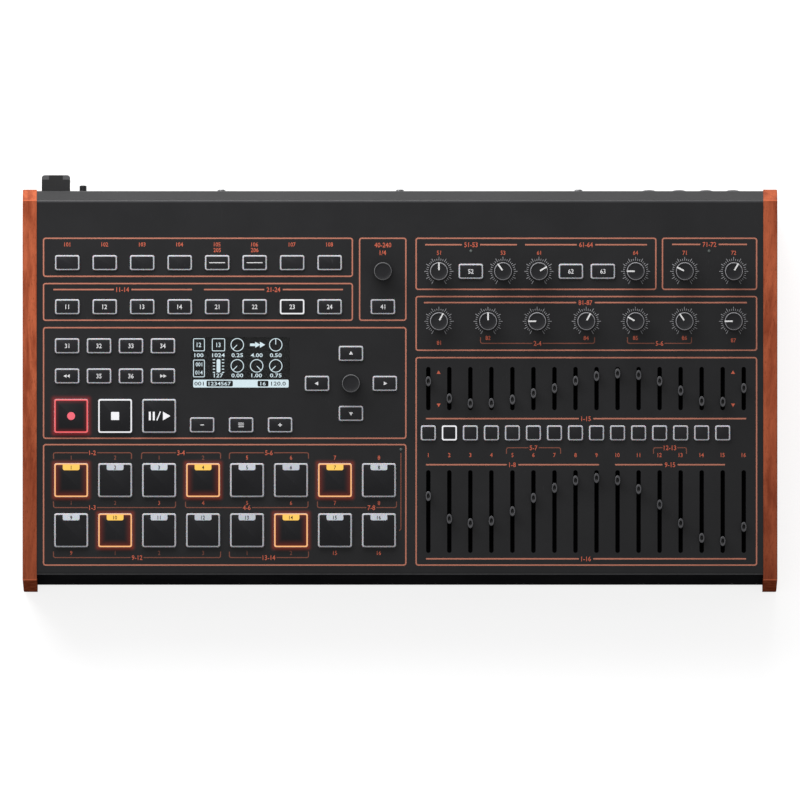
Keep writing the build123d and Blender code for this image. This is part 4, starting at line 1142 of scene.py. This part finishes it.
class DRUM_OT_numbers(bpy.types.Operator):
    """Print the numbers of keys, knobs, pads and channels"""

    bl_idname = "drum_machine.print_numbers"
    bl_label = "Printed numbers"

    def execute(self, context):
        style = look("print")
        top = style.thickness / MM
        digit, count = style.digit / MM, style.count / MM
        caps = all_caps()
        red = ink("number_ink", tuple(style.number_ink))
        dull = ink("count_ink", tuple(style.bracket_ink))
        printed = Piece("printed_numbers", "case", "panel_paint", red, dull)

        def write(text, u, v, size=digit, surface=0):
            printed.add(number(text, size, -PRINT_SUNK, top), at(u, v), surface)

        def column_of(hinge):
            return (TO_PANEL @ Vector(joint(hinge)["pos_m"])).x

        for i, cap in enumerate(caps["function_keys"]):
            rows = 2 if i in TWO_ROW_KEYS else 1
            for row, start in list(zip(FUNCTION_ROWS, FUNCTION_NUMBERS))[:rows]:
                write(str(start + i), cap.u, row, count)
        for i, label in enumerate(UPPER_KNOB_LABELS, 1):
            write(label, column_of(f"upper_knob_{i}_turn"), ABOVE_KNOB, count)
        for i, label in enumerate(TUNE_LABELS, 1):
            if label:
                write(label[0], column_of(f"tune_knob_{i}_turn"), label[1], count)
        for row, labels in zip(PAD_LABEL_ROWS, PAD_LABELS):
            for cap, label in zip(caps["pads_1_to_8"], labels):
                plain = label.strip("()")
                write(plain, cap.u, row, count, 0 if plain == label else 1)
        for channel, fader in enumerate(FADERS, 1):
            write(str(channel), caps_of(fader)[0].u, CHANNEL_ROW, count)
        for text, row in TEMPO_ROWS:
            write(text, column_of("tempo_wheel_turn"), row)
        for column in PAN_MARK_COLUMNS:
            for row, turn in PAN_MARKS:
                printed.add(arrowhead(PAN_MARK, -PRINT_SUNK, top, turn), at(column, row))
        printed.finish()
        return {"FINISHED"}


# ================================================================ keys
SIGN_TOP = 0.05             # legends above the key's face
KEY_NUMBER = 3.0
KEY_FACE = {"corner": 0.7, "crown": 0.15}
PAD_FACE = {"corner": 0.8, "crown": 0.2}
LEGENDS = {
    "function_keys": ("", "", "", "", "bar", "bar", "", ""),
    "edit_keys": ("11", "12", "13", "14", "21", "22", "23", "24"),
    "parameter_keys": ("31", "32", "33", "34", "back", "35", "36", "forward"),
    "cursor_keys": ("up", "left", "right", "down", "minus", "list", "plus"),
    "section_keys": ("52", "62", "63", "41"),
    "voice_keys": ("",) * 15,
}
# signs made of arrowheads: size, direction, and their places along it
ARROWS = {
    "up": (1.5, pi / 2, (0,)),
    "left": (1.5, pi, (0,)),
    "right": (1.5, 0.0, (0,)),
    "down": (1.5, -pi / 2, (0,)),
    "back": (1.35, pi, (-1.1, 1.0)),
    "forward": (1.35, 0.0, (-1.1, 1.0)),
}
# signs made of bars: width, length and row of each
BARS = {
    "": (),
    "bar": ((10.4, 0.55, 0),),
    "minus": ((2.4, 0.6, 0),),
    "plus": ((2.4, 0.6, 0), (0.6, 0.9, -0.75), (0.6, 0.9, 0.75)),
    "list": ((3.6, 0.5, -1.2), (3.6, 0.5, 0), (3.6, 0.5, 1.2)),
}


def legend(sign, low, high):
    """The shapes of a key's number or sign, each with its place on the key."""
    if sign in ARROWS:
        size, turn, places = ARROWS[sign]
        along = Matrix.Rotation(turn, 4, "Z")
        return [(arrowhead(size, low, high), along @ at(place, 0)) for place in places]
    if sign in BARS:
        return [(slab(wide, long, low, high), at(0, row)) for wide, long, row in BARS[sign]]
    return [(number(sign, KEY_NUMBER, low, high), at(0, 0))]


def face_plate(cap, rim, height, style):
    """A key's dark face, inside a rim of the given width."""
    return slab(cap.width - 2 * rim, cap.length - 2 * rim, -PRINT_SUNK, height, **style)


class DRUM_OT_keys(bpy.types.Operator):
    """Fit the small keys with dark faces, numbers and signs, and light their rims"""

    bl_idname = "drum_machine.keys"
    bl_label = "Small keys"

    def execute(self, context):
        keys = look("keys")
        finish = {"grain": 2200.0, "depth": 0.00002, "specular": 0.35, "wear": 0.5}
        face = coated("key_face", tuple(keys.face), 0.42, **finish)[0]
        white = ink("key_legend", tuple(keys.legend))
        plain = light_guide("key_rim", keys.rim)
        height = keys.face_height / MM
        for name, signs in LEGENDS.items():
            caps = all_caps()[name]
            if len(caps) != len(signs):
                raise RuntimeError(f"{name} has {len(caps)} keys and {len(signs)} signs")
            lit = [caps[i] for i in LIT_KEYS.get(name, ())]
            lights = (lit, tuple(keys.lit_rim))
            dress(name, light_guide(f"{name}_rim", keys.rim, lights) if lit else plain)
            faces = Piece(f"{name}_faces", name, "key_plastic", face, white)
            for cap, sign in zip(caps, signs):
                plate = face_plate(cap, keys.rim_width / MM, height, KEY_FACE)
                faces.add(plate, cap.place(cap.top))
                for shape, place in legend(sign, height - PRINT_SUNK, height + SIGN_TOP):
                    faces.add(shape, cap.place(cap.top) @ place, 1)
            faces.finish()
        return {"FINISHED"}


# ================================================================ pads and transport
TAB_CORNER = 1.2
TAB_TOP = 0.12              # tab above the pad's face
TAB_PAST = 0.1              # tab past the face's rear edge
TAB_FIGURE = 2.5
PAD_INNER = 6.0             # how far the light reaches inside a lit pad's edge
RECORD_INNER = 4.0
INNER_GLOW = 0.9            # light inside a lit key's edge, as a share of the light round it
SIGN_GLOW = 0.35            # light through the transport signs
RECORD_DISC = 2.6
STOP_SQUARE = 5.3
PAUSE_BAR = (1.3, 5.6)
PAUSE_COLUMNS = (-6.1, -3.5)
SLASH = (0.7, 6.4)
SLASH_PLACE = (-0.3, 0, radians(-22))
PLAY_ARROW = 3.3
PLAY_COLUMN = 4.2


def number_tab(width, depth, low, high):
    """A pad's number tab: square at the rear, rounded at the front."""
    bm = sheet(width, 2 * depth, TAB_CORNER)
    cut(bm, (0, 0, 0), (0, 1, 0))
    thicken(bm, low, high)
    return bm


def pad_face(name, lit, glow, reach):
    """Dark soft pad face, with the light inside the edge of the lit ones."""
    shade = tuple(part * 0.8 for part in look("keys").face)
    finish = {"grain": 1500.0, "depth": 0.00004, "specular": 0.25, "wear": 0.4}
    made, graph, shader = coated(name, shade, 0.55, **finish)
    weaker = tuple(part * INNER_GLOW for part in glow)
    glowing(graph, shader, [(lit_mask(graph, lit, "Inner", reach), weaker)])
    return made


class DRUM_OT_pads(bpy.types.Operator):
    """Fit the sixteen pads with soft faces and numbered tabs, and light some of them"""

    bl_idname = "drum_machine.pads"
    bl_label = "Pads"

    def execute(self, context):
        keys = look("keys")
        rim = keys.pad_rim_width / MM
        height = keys.face_height / MM
        tab = (keys.tab_width / MM, keys.tab_length / MM)
        figure = ink("tab_figure", tone(34, 32, 40))
        first = 1
        for name, places in LIT_PADS.items():
            caps = all_caps()[name]
            lit = [caps[i] for i in places]
            dress(name, light_guide(f"{name}_rim", keys.rim, (lit, tuple(keys.pad_light))))
            face = pad_face(f"{name}_face", lit, keys.pad_glow, PAD_INNER)
            number_light = light_guide(f"{name}_tab", keys.tab, (lit, tuple(keys.tab_light)))
            faces = Piece(f"{name}_faces", name, "pad_rubber", face, number_light, figure)
            for i, cap in enumerate(caps):
                top = cap.place(cap.top)
                faces.add(face_plate(cap, rim, height, PAD_FACE), top)
                rear = cap.length / 2 - rim + TAB_PAST
                plate = number_tab(*tab, height - PRINT_SUNK, height + TAB_TOP)
                faces.add(plate, top @ at(0, rear), 1)
                mark = number(str(first + i), TAB_FIGURE, height, height + TAB_TOP + SIGN_TOP)
                faces.add(mark, top @ at(0, rear - tab[1] / 2), 2)
            faces.finish()
            first += len(caps)
        return {"FINISHED"}


class DRUM_OT_transport(bpy.types.Operator):
    """Fit the record, stop and play keys with their signs, and light two of them"""

    bl_idname = "drum_machine.transport"
    bl_label = "Transport keys"

    def execute(self, context):
        keys = look("keys")
        caps = all_caps()["transport_keys"]
        record, stop, play = caps
        lights = ([record], tuple(keys.record_light)), ([stop], tuple(keys.lit_rim))
        dress("transport_keys", light_guide("transport_rim", keys.rim, *lights))
        face = pad_face("transport_face", [record], keys.record_glow, RECORD_INNER)
        pink = ink("record_sign", tone(236, 104, 118), SIGN_GLOW)
        pale = ink("transport_sign", tuple(keys.lit_rim), SIGN_GLOW)
        faces = Piece("transport_faces", "transport_keys", "pad_rubber", face, pink, pale)
        height = keys.face_height / MM
        low, high = height - PRINT_SUNK, height + SIGN_TOP
        for cap in caps:
            plate = face_plate(cap, keys.pad_rim_width / MM, height, PAD_FACE)
            faces.add(plate, cap.place(cap.top))
        faces.add(disc(RECORD_DISC, low, high), record.place(record.top), 1)
        square = slab(STOP_SQUARE, STOP_SQUARE, low, high, corner=0.2)
        faces.add(square, stop.place(stop.top), 2)
        top = play.place(play.top)
        for column in PAUSE_COLUMNS:
            faces.add(slab(*PAUSE_BAR, low, high), top @ at(column, 0), 2)
        faces.add(slab(*SLASH, low, high), top @ at(*SLASH_PLACE), 2)
        faces.add(arrowhead(PLAY_ARROW, low, high), top @ at(PLAY_COLUMN, 0), 2)
        faces.finish()
        return {"FINISHED"}


# ================================================================ knobs, wheels and sliders
KNOB_STEPS_PER_FLUTE = 3
KNOB_UNDER = 0.1            # the finished knob's top, below its solid's
KNOB_LOW = 1.0              # its underside, above the panel
KNOB_BORE = 1.2             # depth of the hole for the shaft
KNOB_FOOT = 0.5             # chamfer round the underside
KNOB_SKIRT = (1.4, 1.8)     # heights where the skirt ends and the grip starts
GRIP_INSET = 0.25           # grip inside the skirt
GRIP_END = 1.0              # the grip ends this far below the top
KNOB_CROWN = ((0.12, 0.35), (0.32, 0.08))   # rounding over the grip: inset and drop
KNOB_DISH = (0.08, 0.2, 0.24)   # drop of the dish at its edge, half way and in the middle
HIGHLIGHT_RING_DROP = 0.3             # the painted highlight ring round the top reaches down this far
SHAFT_RADIUS = 3.0
SHAFT_IN = 1.0              # how far the shaft reaches past the knob's underside
STEM_FOOT = -5.0            # shafts and levers start here, under the panel
POINTER = (0.7, 1.0)        # start from the axis, and width
POINTER_END = 0.3           # pointer short of the knob's side
POINTER_SUNK = 0.4
POINTER_PROUD = 0.02


def knob_names():
    """Every knob with a pointer."""
    return [j["child"] for j in frame["joints"] if j["type"] == "hinge" and not j.get("continuous")]


def knob_body(cap, edge, flutes, depth):
    """A fluted knob with a softly dished top: surface 1 is the ring round the top, which takes a painted
    highlight.
    """
    radius, top = cap.width / 2, cap.top - KNOB_UNDER
    grip = radius - GRIP_INSET
    inner = grip - edge
    skirt_end, grip_start = (KNOB_LOW + height for height in KNOB_SKIRT)
    at_edge, half_way, in_middle = (top - drop for drop in KNOB_DISH)
    profile = [
        (0, KNOB_LOW + KNOB_BORE),
        (SHAFT_RADIUS, KNOB_LOW + KNOB_BORE),
        (SHAFT_RADIUS, KNOB_LOW),
        (radius - KNOB_FOOT, KNOB_LOW),
        (radius, KNOB_LOW + KNOB_FOOT),
        (radius, skirt_end),
        (grip + 0.1, grip_start),
        (grip, top - GRIP_END),
        *((grip - inset, top - drop) for inset, drop in KNOB_CROWN),
        (inner, top),
        (inner - 0.15, at_edge),
        (grip / 2, half_way),
        (0, in_middle),
    ]
    steps = flutes * KNOB_STEPS_PER_FLUTE
    bm = turned(profile, steps)
    for vert in bm.verts:
        if grip_start - 0.1 < vert.co.z < top - GRIP_END + 0.1:
            column = round(atan2(vert.co.y, vert.co.x) / (2 * pi) * steps)
            if column % KNOB_STEPS_PER_FLUTE == 0:
                vert.co.xy *= 1 - depth / radius
    for face in bm.faces:
        centre = face.calc_center_median()
        if centre.xy.length > inner - 0.05 and centre.z > top - HIGHLIGHT_RING_DROP:
            face.material_index = 1
    return bm


class DRUM_OT_knobs(bpy.types.Operator):
    """Make the thirteen knobs with their pointers, and the two endless wheels"""

    bl_idname = "drum_machine.knobs"
    bl_label = "Knobs and wheels"

    def execute(self, context):
        knobs = look("knobs")
        body = coated("knob_body", tuple(knobs.body), grain=2000.0, specular=0.35, wear=0.5)[0]
        fine = {"grain": 2600.0, "depth": 0.00001, "wear": 0.2}
        # paler rings round the knob and wheel tops: painted highlights
        edge = coated("knob_edge_highlight", tuple(knobs.edge), 0.35, specular=0.5, **fine)[0]
        wheel_edge_highlight = coated("wheel_edge_highlight", tuple(knobs.wheel_edge_highlight), 0.4, specular=0.4, **fine)[0]
        white = ink("pointer_paint", tuple(knobs.pointer))
        steel = plated("shaft_steel", tone(120, 120, 122))
        for name in knob_names() + ["tempo_wheel", "data_wheel"]:
            cap = caps_of(name)[0]
            hinge = joint(f"{name}_turn")
            endless = hinge.get("continuous")
            ring = wheel_edge_highlight if endless else edge
            knob = Piece(name + "_cap", name, "knob_plastic", body, ring, white, steel)
            shape = knob_body(cap, knobs.edge_width / MM, knobs.flutes, knobs.flute_depth / MM)
            knob.add(shape, cap.place())
            knob.add(disc(SHAFT_RADIUS, STEM_FOOT, KNOB_LOW + SHAFT_IN), cap.place(), 3)
            if not endless:
                turn = -radians(sum(hinge["range_deg"]) / 2)
                start, width = POINTER
                reach = cap.width / 2 - POINTER_END - start
                line = slab(width, reach, -POINTER_SUNK, POINTER_PROUD - KNOB_UNDER, corner=0.2)
                line.transform(Matrix.Translation((0, start + reach / 2, 0)))
                knob.add(line, cap.place(cap.top, turn), 2)
            knob.finish(replaces=[name])
        return {"FINISHED"}


CAP_LOW = 0.8               # underside of a slider's cap, above the panel
# rounded rim and dish of a cap: share of its half width, and drop below its top
CAP_OUTLINE = (
    (1.0, 0.45),
    (0.95, 0.15),
    (0.86, 0.0),
    (0.68, 0.0),
    (0.52, 0.1),
    (0.42, 0.5),
    (0.3, 0.8),
    (0.0, 0.9),
)
# the rim down to this depth takes the painted highlight colour
CAP_HIGHLIGHT_DEPTH = 0.2
LEVER = (1.2, 3.0)          # width and length of the lever's section
LEVER_IN = 0.5              # how far it reaches into the cap


def slider_cap(cap):
    """An oval cap with a broad rounded rim and a finger dish: surface 1 is the rim, with a painted highlight."""
    half = cap.width / 2
    crown = [(half * share, cap.top - drop) for share, drop in CAP_OUTLINE]
    bm = turned([(0, CAP_LOW), (half, CAP_LOW)] + crown, ROUND_STEPS)
    bm.transform(Matrix.Diagonal((1, cap.length / cap.width, 1, 1)))
    for face in bm.faces:
        face.material_index = int(face.calc_center_median().z > cap.top - CAP_HIGHLIGHT_DEPTH)
    return bm


class DRUM_OT_sliders(bpy.types.Operator):
    """Make the caps and levers of the level faders and pan sliders"""

    bl_idname = "drum_machine.sliders"
    bl_label = "Sliders"

    def execute(self, context):
        knobs = look("knobs")
        finish = {"grain": 2400.0, "depth": 0.00002, "specular": 0.4}
        dark = coated("cap_plastic", tuple(knobs.cap), 0.4, **finish)[0]
        # the rim's paler colour is a painted highlight
        finish = {"grain": 2400.0, "depth": 0.00001, "specular": 0.5, "wear": 0.2}
        rim = coated("cap_rim_highlight", tuple(knobs.cap_ring_highlight), 0.35, **finish)[0]
        steel = plated("lever_steel", tone(96, 96, 98))
        for name in FADERS + PAN_NODES:
            piece = Piece(f"{name}_caps", name, "slider_plastic", dark, rim, steel)
            for cap in caps_of(name):
                piece.add(slider_cap(cap), cap.place())
                piece.add(slab(*LEVER, STEM_FOOT, CAP_LOW + LEVER_IN), cap.place(), 2)
            piece.finish(replaces=[name])
        return {"FINISHED"}


# ================================================================ display
# the picture's own frame: x and y in millimetres from the window's middle
DISPLAY_TOP = 0.06
GROUND_TOP = 0.03           # dark ground under the picture, above the display module
GROUND_PAST = 0.75          # module past the ground, on each side
BOX_LINE = 0.5
BOX_CORNER = 0.8
DIAL_RADIUS = 4.4
DIAL_STEPS = 24
DIAL_HAND = DIAL_RADIUS - 0.4
DISPLAY_COLUMNS = (-27.5, -14.6, -2.2, 10.6, 23.2)
UPPER_ROW, LOWER_ROW = 11.8, -2.1
# boxes: column's number, row, width and length
BOXES = ((0, UPPER_ROW, 7.7, 8.5), (1, UPPER_ROW, 8.7, 8.5), (0, -3.8, 7.7, 11.6))
# numbers in the boxes: column's number, row, text and height
BOX_NUMBERS = (
    (0, UPPER_ROW, "12", 2.9),
    (1, UPPER_ROW, "13", 2.9),
    (0, -1.1, "001", 2.6),
    (0, -6.5, "014", 2.6),
)
# dials: column's number, row and turn of the hand
DIALS = (
    (2, UPPER_ROW, 135),
    (4, UPPER_ROW, 0),
    (2, LOWER_ROW, 135),
    (3, LOWER_ROW, -135),
    (4, LOWER_ROW, 135),
)
MODE_BAR = (3.4, 1.7)
MODE_BAR_PLACE = (7.9, UPPER_ROW)
MODE_ARROW = 2.3
MODE_ARROW_COLUMNS = (10.8, 13.9)
LEVEL_BAR = (2.5, 8.8)
LEVEL_TICK = (1.5, 0.6)
LEVEL_TICK_ASIDE = 3.0
LEVEL_TICK_ROWS = [2.0 - 2.1 * step for step in range(5)]
CAPTION_ROWS = (4.95, -8.4)
CAPTION = 2.5
CAPTIONS = (("100", "1024", "0.25", "4.00", "0.50"), ("", "127", "0.00", "1.00", "0.75"))
WIDE = 1.3                  # the display's digits are this much wider than the font's own
STATUS_ROW = -13.8
STATUS_BAR = (63.0, 5.2)
STATUS_COLUMN = 0.2
STATUS_LENGTH = 3.8
# dark fields in the status bar: column, width and text
STATUS_FIELDS = ((-13.8, 17.4, "1234567"), (14.8, 7.2, "16"))
STATUS_NUMBERS = ((-27.4, "001"), (25.0, "120.0"))
STATUS_DARK, STATUS_LIGHT = 2.6, 2.4    # heights of its dark and lit digits


def display_pixels():
    """Lit pixels, a fine grid of them."""
    display = look("display")
    made, graph, shader = material("display_pixels", {"Roughness": 0.4, "Emission Strength": 1.0})
    pitch = display.pitch / MM
    gaps = []
    for side in graph.parts(graph.panel_place())[:2]:
        share = graph.math("FRACT", graph.math("DIVIDE", side, pitch))
        from_middle = graph.math("ABSOLUTE", graph.math("SUBTRACT", share, 0.5))
        gaps.append(graph.spread(from_middle, 0.38, 0.5, 1.0, 0.55))
    mask = graph.math("MULTIPLY", *gaps)
    lit = tuple(display.pixel)
    graph.feed(shader["Base Color"], graph.mix(mask, (0.01, 0.015, 0.018), (0.03, 0.04, 0.04)))
    graph.feed(shader["Emission Color"], graph.mix(mask, tuple(part * 0.6 for part in lit), lit))
    return made


class DRUM_OT_display(bpy.types.Operator):
    """Light the display with dials, boxes, a level bar and a status line of plain numbers"""

    bl_idname = "drum_machine.display"
    bl_label = "Display"

    def execute(self, context):
        window = window_place()
        lit = display_pixels()
        dark = display_ground("display_dark", 0.4)
        picture = Piece("display_picture", "case", "display_black", lit, dark)
        low, high = -PRINT_SUNK, DISPLAY_TOP
        base = Matrix.Translation((window.u, window.v, window.top))
        columns = DISPLAY_COLUMNS

        def show(shape, x, y, turn=0.0, surface=0):
            picture.add(shape, base @ at(x, y, turn), surface)

        ground = (side - 2 * GROUND_PAST for side in (window.width, window.length))
        show(slab(*ground, low, GROUND_TOP), 0, 0, 0.0, 1)
        for column, row, width, depth in BOXES:
            shape = outline(width, depth, BOX_LINE, BOX_CORNER)
            thicken(shape, low, high)
            show(shape, columns[column], row)
        for column, row, text, size in BOX_NUMBERS:
            show(number(text, size, low, high), columns[column], row)
        for column, row, turn in DIALS:
            show(disc(DIAL_RADIUS, low, high, BOX_LINE, DIAL_STEPS), columns[column], row)
            hand = slab(BOX_LINE, DIAL_HAND, low, high)
            hand.transform(Matrix.Translation((0, DIAL_RADIUS / 2, 0)))
            show(hand, columns[column], row, radians(turn))
        show(slab(*MODE_BAR, low, high), *MODE_BAR_PLACE)
        for column in MODE_ARROW_COLUMNS:
            show(arrowhead(MODE_ARROW, low, high), column, UPPER_ROW)
        show(slab(*LEVEL_BAR, low, high, corner=0.9), columns[1], LOWER_ROW)
        for row in LEVEL_TICK_ROWS:
            for aside in (-LEVEL_TICK_ASIDE, LEVEL_TICK_ASIDE):
                show(slab(*LEVEL_TICK, low, high), columns[1] + aside, row)
        for row, captions in zip(CAPTION_ROWS, CAPTIONS):
            for column, caption in zip(columns, captions):
                if caption:
                    show(number(caption, CAPTION, low, high, WIDE), column, row)
        show(slab(*STATUS_BAR, low, high, corner=BOX_CORNER), STATUS_COLUMN, STATUS_ROW)
        dark_low, field_top, dark_top = high - PRINT_SUNK, high + 0.03, high + 0.04
        light_low, light_top = high + PRINT_SUNK, high + 0.07
        for column, width, text in STATUS_FIELDS:
            field = slab(width, STATUS_LENGTH, dark_low, field_top, corner=BOX_CORNER)
            show(field, column, STATUS_ROW, 0.0, 1)
            show(number(text, STATUS_LIGHT, light_low, light_top, WIDE), column, STATUS_ROW)
        for column, text in STATUS_NUMBERS:
            mark = number(text, STATUS_DARK, dark_low, dark_top, WIDE)
            show(mark, column, STATUS_ROW, 0.0, 1)
        picture.finish()
        return {"FINISHED"}


def window_place():
    """The display's place and its top, which the window lies on."""
    low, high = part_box("display_window")
    module = bmesh.new()
    module.from_mesh(frame["nodes"]["display_module"].data)
    module.transform(TO_PANEL)
    place = Cap([v.co for v in module.verts])
    module.free()
    return place


# ================================================================ rear sockets
JACKS_FROM = -100.0         # small jacks are at x above this, data sockets below it
OUTSIDE = 0.05              # what is this far past the rear wall shows outside


def sockets_material():
    """Black moulded sockets, with plated nuts round the small jacks outside the rear wall."""
    black = tone(22, 22, 23)
    finish = {"grain": 1800.0, "depth": 0.00002, "specular": 0.4}
    made, graph, shader = coated("socket_plastic", black, 0.42, **finish)
    sides = graph.parts(graph.object_place())
    jacks = graph.math("GREATER_THAN", sides[0], JACKS_FROM * MM)
    outside = graph.math("GREATER_THAN", sides[1], (REAR_Y + OUTSIDE) * MM)
    nut = graph.math("MULTIPLY", jacks, outside)
    graph.feed(shader["Base Color"], graph.mix(nut, black, tuple(look("case").metal)))
    graph.feed(shader["Metallic"], nut)
    return made


REAR_NUMBER = 2.6
SOCKET_NUMBER_RISE = 9.0    # number above its socket's centre line
BUTTON_NUMBER_RISE = 5.5


class DRUM_OT_rear(bpy.types.Operator):
    """Finish the rear sockets and the power button, and print their numbers"""

    bl_idname = "drum_machine.rear"
    bl_label = "Rear panel"

    def execute(self, context):
        case, style = look("case"), look("print")
        grey = ink("rear_ink", tuple(style.scale_ink))
        marks = Piece("rear_numbers", "case", "base_paint", grey)
        top = style.thickness / MM

        def write(text, x, z):
            marks.add(number(text, REAR_NUMBER, -PRINT_SUNK, top), at(-x / MM, z / MM))

        mounts = frame["record"]["mounts"]
        sockets = [mount["pos_m"] for mount in mounts if mount["kind"] == "bore"]
        for i, (x, _, z) in enumerate(sorted(sockets, reverse=True), 1):
            write(str(i), x, z + SOCKET_NUMBER_RISE * MM)
        low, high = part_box("power_button")
        middle = (low + high) / 2
        write("0/1", middle.x, middle.z + BUTTON_NUMBER_RISE * MM)
        marks.finish(REAR)
        dress("phone_jacks", plated("nickel_plate", tuple(case.metal), 0.22))
        dress("data_sockets", sockets_material())
        dress("power_button", coated("power_button_plastic", tone(28, 28, 30), 0.35)[0])
        return {"FINISHED"}


# ================================================================ stage
def studio_floor():
    """Plain pale floor, brought up to white where the camera, a gloss or a clear piece sees it."""
    stage = look("stage")
    floor = tuple(stage.floor)
    made, graph, shader = material("studio_floor", {"Specular IOR Level": 0.1})
    soft = graph.noise(graph.object_place(), 3.0, 2.0)
    darker = tuple(part * 0.985 for part in floor)
    graph.feed(shader["Base Color"], graph.mix(soft, floor, darker))
    graph.feed(shader["Roughness"], graph.spread(soft, 0.2, 0.8, 0.5, 0.6))
    rays = graph.add("LightPath").outputs
    seen = graph.math("ADD", rays["Is Camera Ray"], rays["Is Glossy Ray"])
    seen = graph.math("ADD", seen, rays["Is Transmission Ray"], clamp=True)
    graph.feed(shader["Emission Color"], graph.mix(seen, (0, 0, 0), (1, 1, 1)))
    graph.feed(shader["Emission Strength"], stage.backdrop)
    return made


# floor, lamp and camera, in metres
FLOOR_HALF = 9.0            # half the floor's side: a low view still ends on it
LAMP_PLACE = (-0.25, 0.72, 0.63)
LAMP_TARGET = (0, 0, 0.05)
LAMP_SIZE = (1.4, 0.6)
CAMERA_SEES = (0.1, 100.0)


def key_lamp(power):
    """A large rectangular lamp behind the rear edge, facing the machine."""
    data = bpy.data.lights.new("key_lamp", "AREA")
    data.shape = "RECTANGLE"
    data.size, data.size_y = LAMP_SIZE
    data.energy = power
    lamp = bpy.data.objects.new("key_lamp", data)
    lamp.location = LAMP_PLACE
    facing = Vector(LAMP_TARGET) - Vector(LAMP_PLACE)
    lamp.rotation_euler = facing.to_track_quat("-Z", "Y").to_euler()
    bpy.context.scene.collection.objects.link(lamp)


class DRUM_OT_stage(bpy.types.Operator):
    """Make the floor, the lamp and the camera"""

    bl_idname = "drum_machine.stage"
    bl_label = "Stage"

    def execute(self, context):
        stage = look("stage")
        scene = context.scene
        bm = bmesh.new()
        bmesh.ops.create_grid(bm, x_segments=1, y_segments=1, size=FLOOR_HALF)
        mesh = bpy.data.meshes.new("studio_floor")
        bm.to_mesh(mesh)
        bm.free()
        mesh.materials.append(studio_floor())
        floor = bpy.data.objects.new("studio_floor", mesh)
        scene.collection.objects.link(floor)

        world = bpy.data.worlds.new("studio")
        world.use_nodes = True
        sky = world.node_tree.nodes["Background"].inputs
        sky["Color"].default_value = (1, 1, 1, 1)
        sky["Strength"].default_value = stage.sky
        scene.world = world
        key_lamp(stage.key_power)

        data = bpy.data.cameras.new("camera")
        data.lens = stage.lens
        distance = stage.lens / data.sensor_width * stage.field
        axes = PANEL.to_3x3().normalized()
        target = PANEL @ Vector((0, stage.centre / MM, 0))
        camera = bpy.data.objects.new("camera", data)
        camera.matrix_world = Matrix.Translation(target + axes.col[2] * distance) @ axes.to_4x4()
        data.clip_start, data.clip_end = CAMERA_SEES
        scene.collection.objects.link(camera)
        scene.camera = camera
        scene.view_settings.view_transform = "Standard"
        return {"FINISHED"}


# ================================================================ add-on
LOOKS = {
    "case": CaseLook,
    "print": PrintLook,
    "keys": KeyLook,
    "knobs": KnobLook,
    "display": DisplayLook,
    "stage": StageLook,
}
OPERATORS = (
    DRUM_OT_case,
    DRUM_OT_print,
    DRUM_OT_numbers,
    DRUM_OT_keys,
    DRUM_OT_pads,
    DRUM_OT_transport,
    DRUM_OT_knobs,
    DRUM_OT_sliders,
    DRUM_OT_display,
    DRUM_OT_rear,
    DRUM_OT_stage,
)


class DRUM_PT_panel(bpy.types.Panel):
    """Lists every step of the finish"""

    bl_idname = "DRUM_PT_panel"
    bl_label = "Drum machine"
    bl_space_type = "VIEW_3D"
    bl_region_type = "UI"
    bl_category = "Drum machine"

    def draw(self, context):
        for operator in OPERATORS:
            self.layout.operator(operator.bl_idname)


def register():
    for group in LOOKS.values():
        bpy.utils.register_class(group)
    for name, group in LOOKS.items():
        setattr(bpy.types.Scene, f"drum_{name}", PointerProperty(type=group))
    for operator in OPERATORS:
        bpy.utils.register_class(operator)
    bpy.utils.register_class(DRUM_PT_panel)


def unregister():
    bpy.utils.unregister_class(DRUM_PT_panel)
    for operator in reversed(OPERATORS):
        bpy.utils.unregister_class(operator)
    for name in LOOKS:
        delattr(bpy.types.Scene, f"drum_{name}")
    for group in reversed(list(LOOKS.values())):
        bpy.utils.unregister_class(group)


def main():
    """Dress the whole machine."""
    register()
    for operator in OPERATORS:
        space, name = operator.bl_idname.split(".")
        getattr(getattr(bpy.ops, space), name)()


if __name__ == "__main__":
    main()
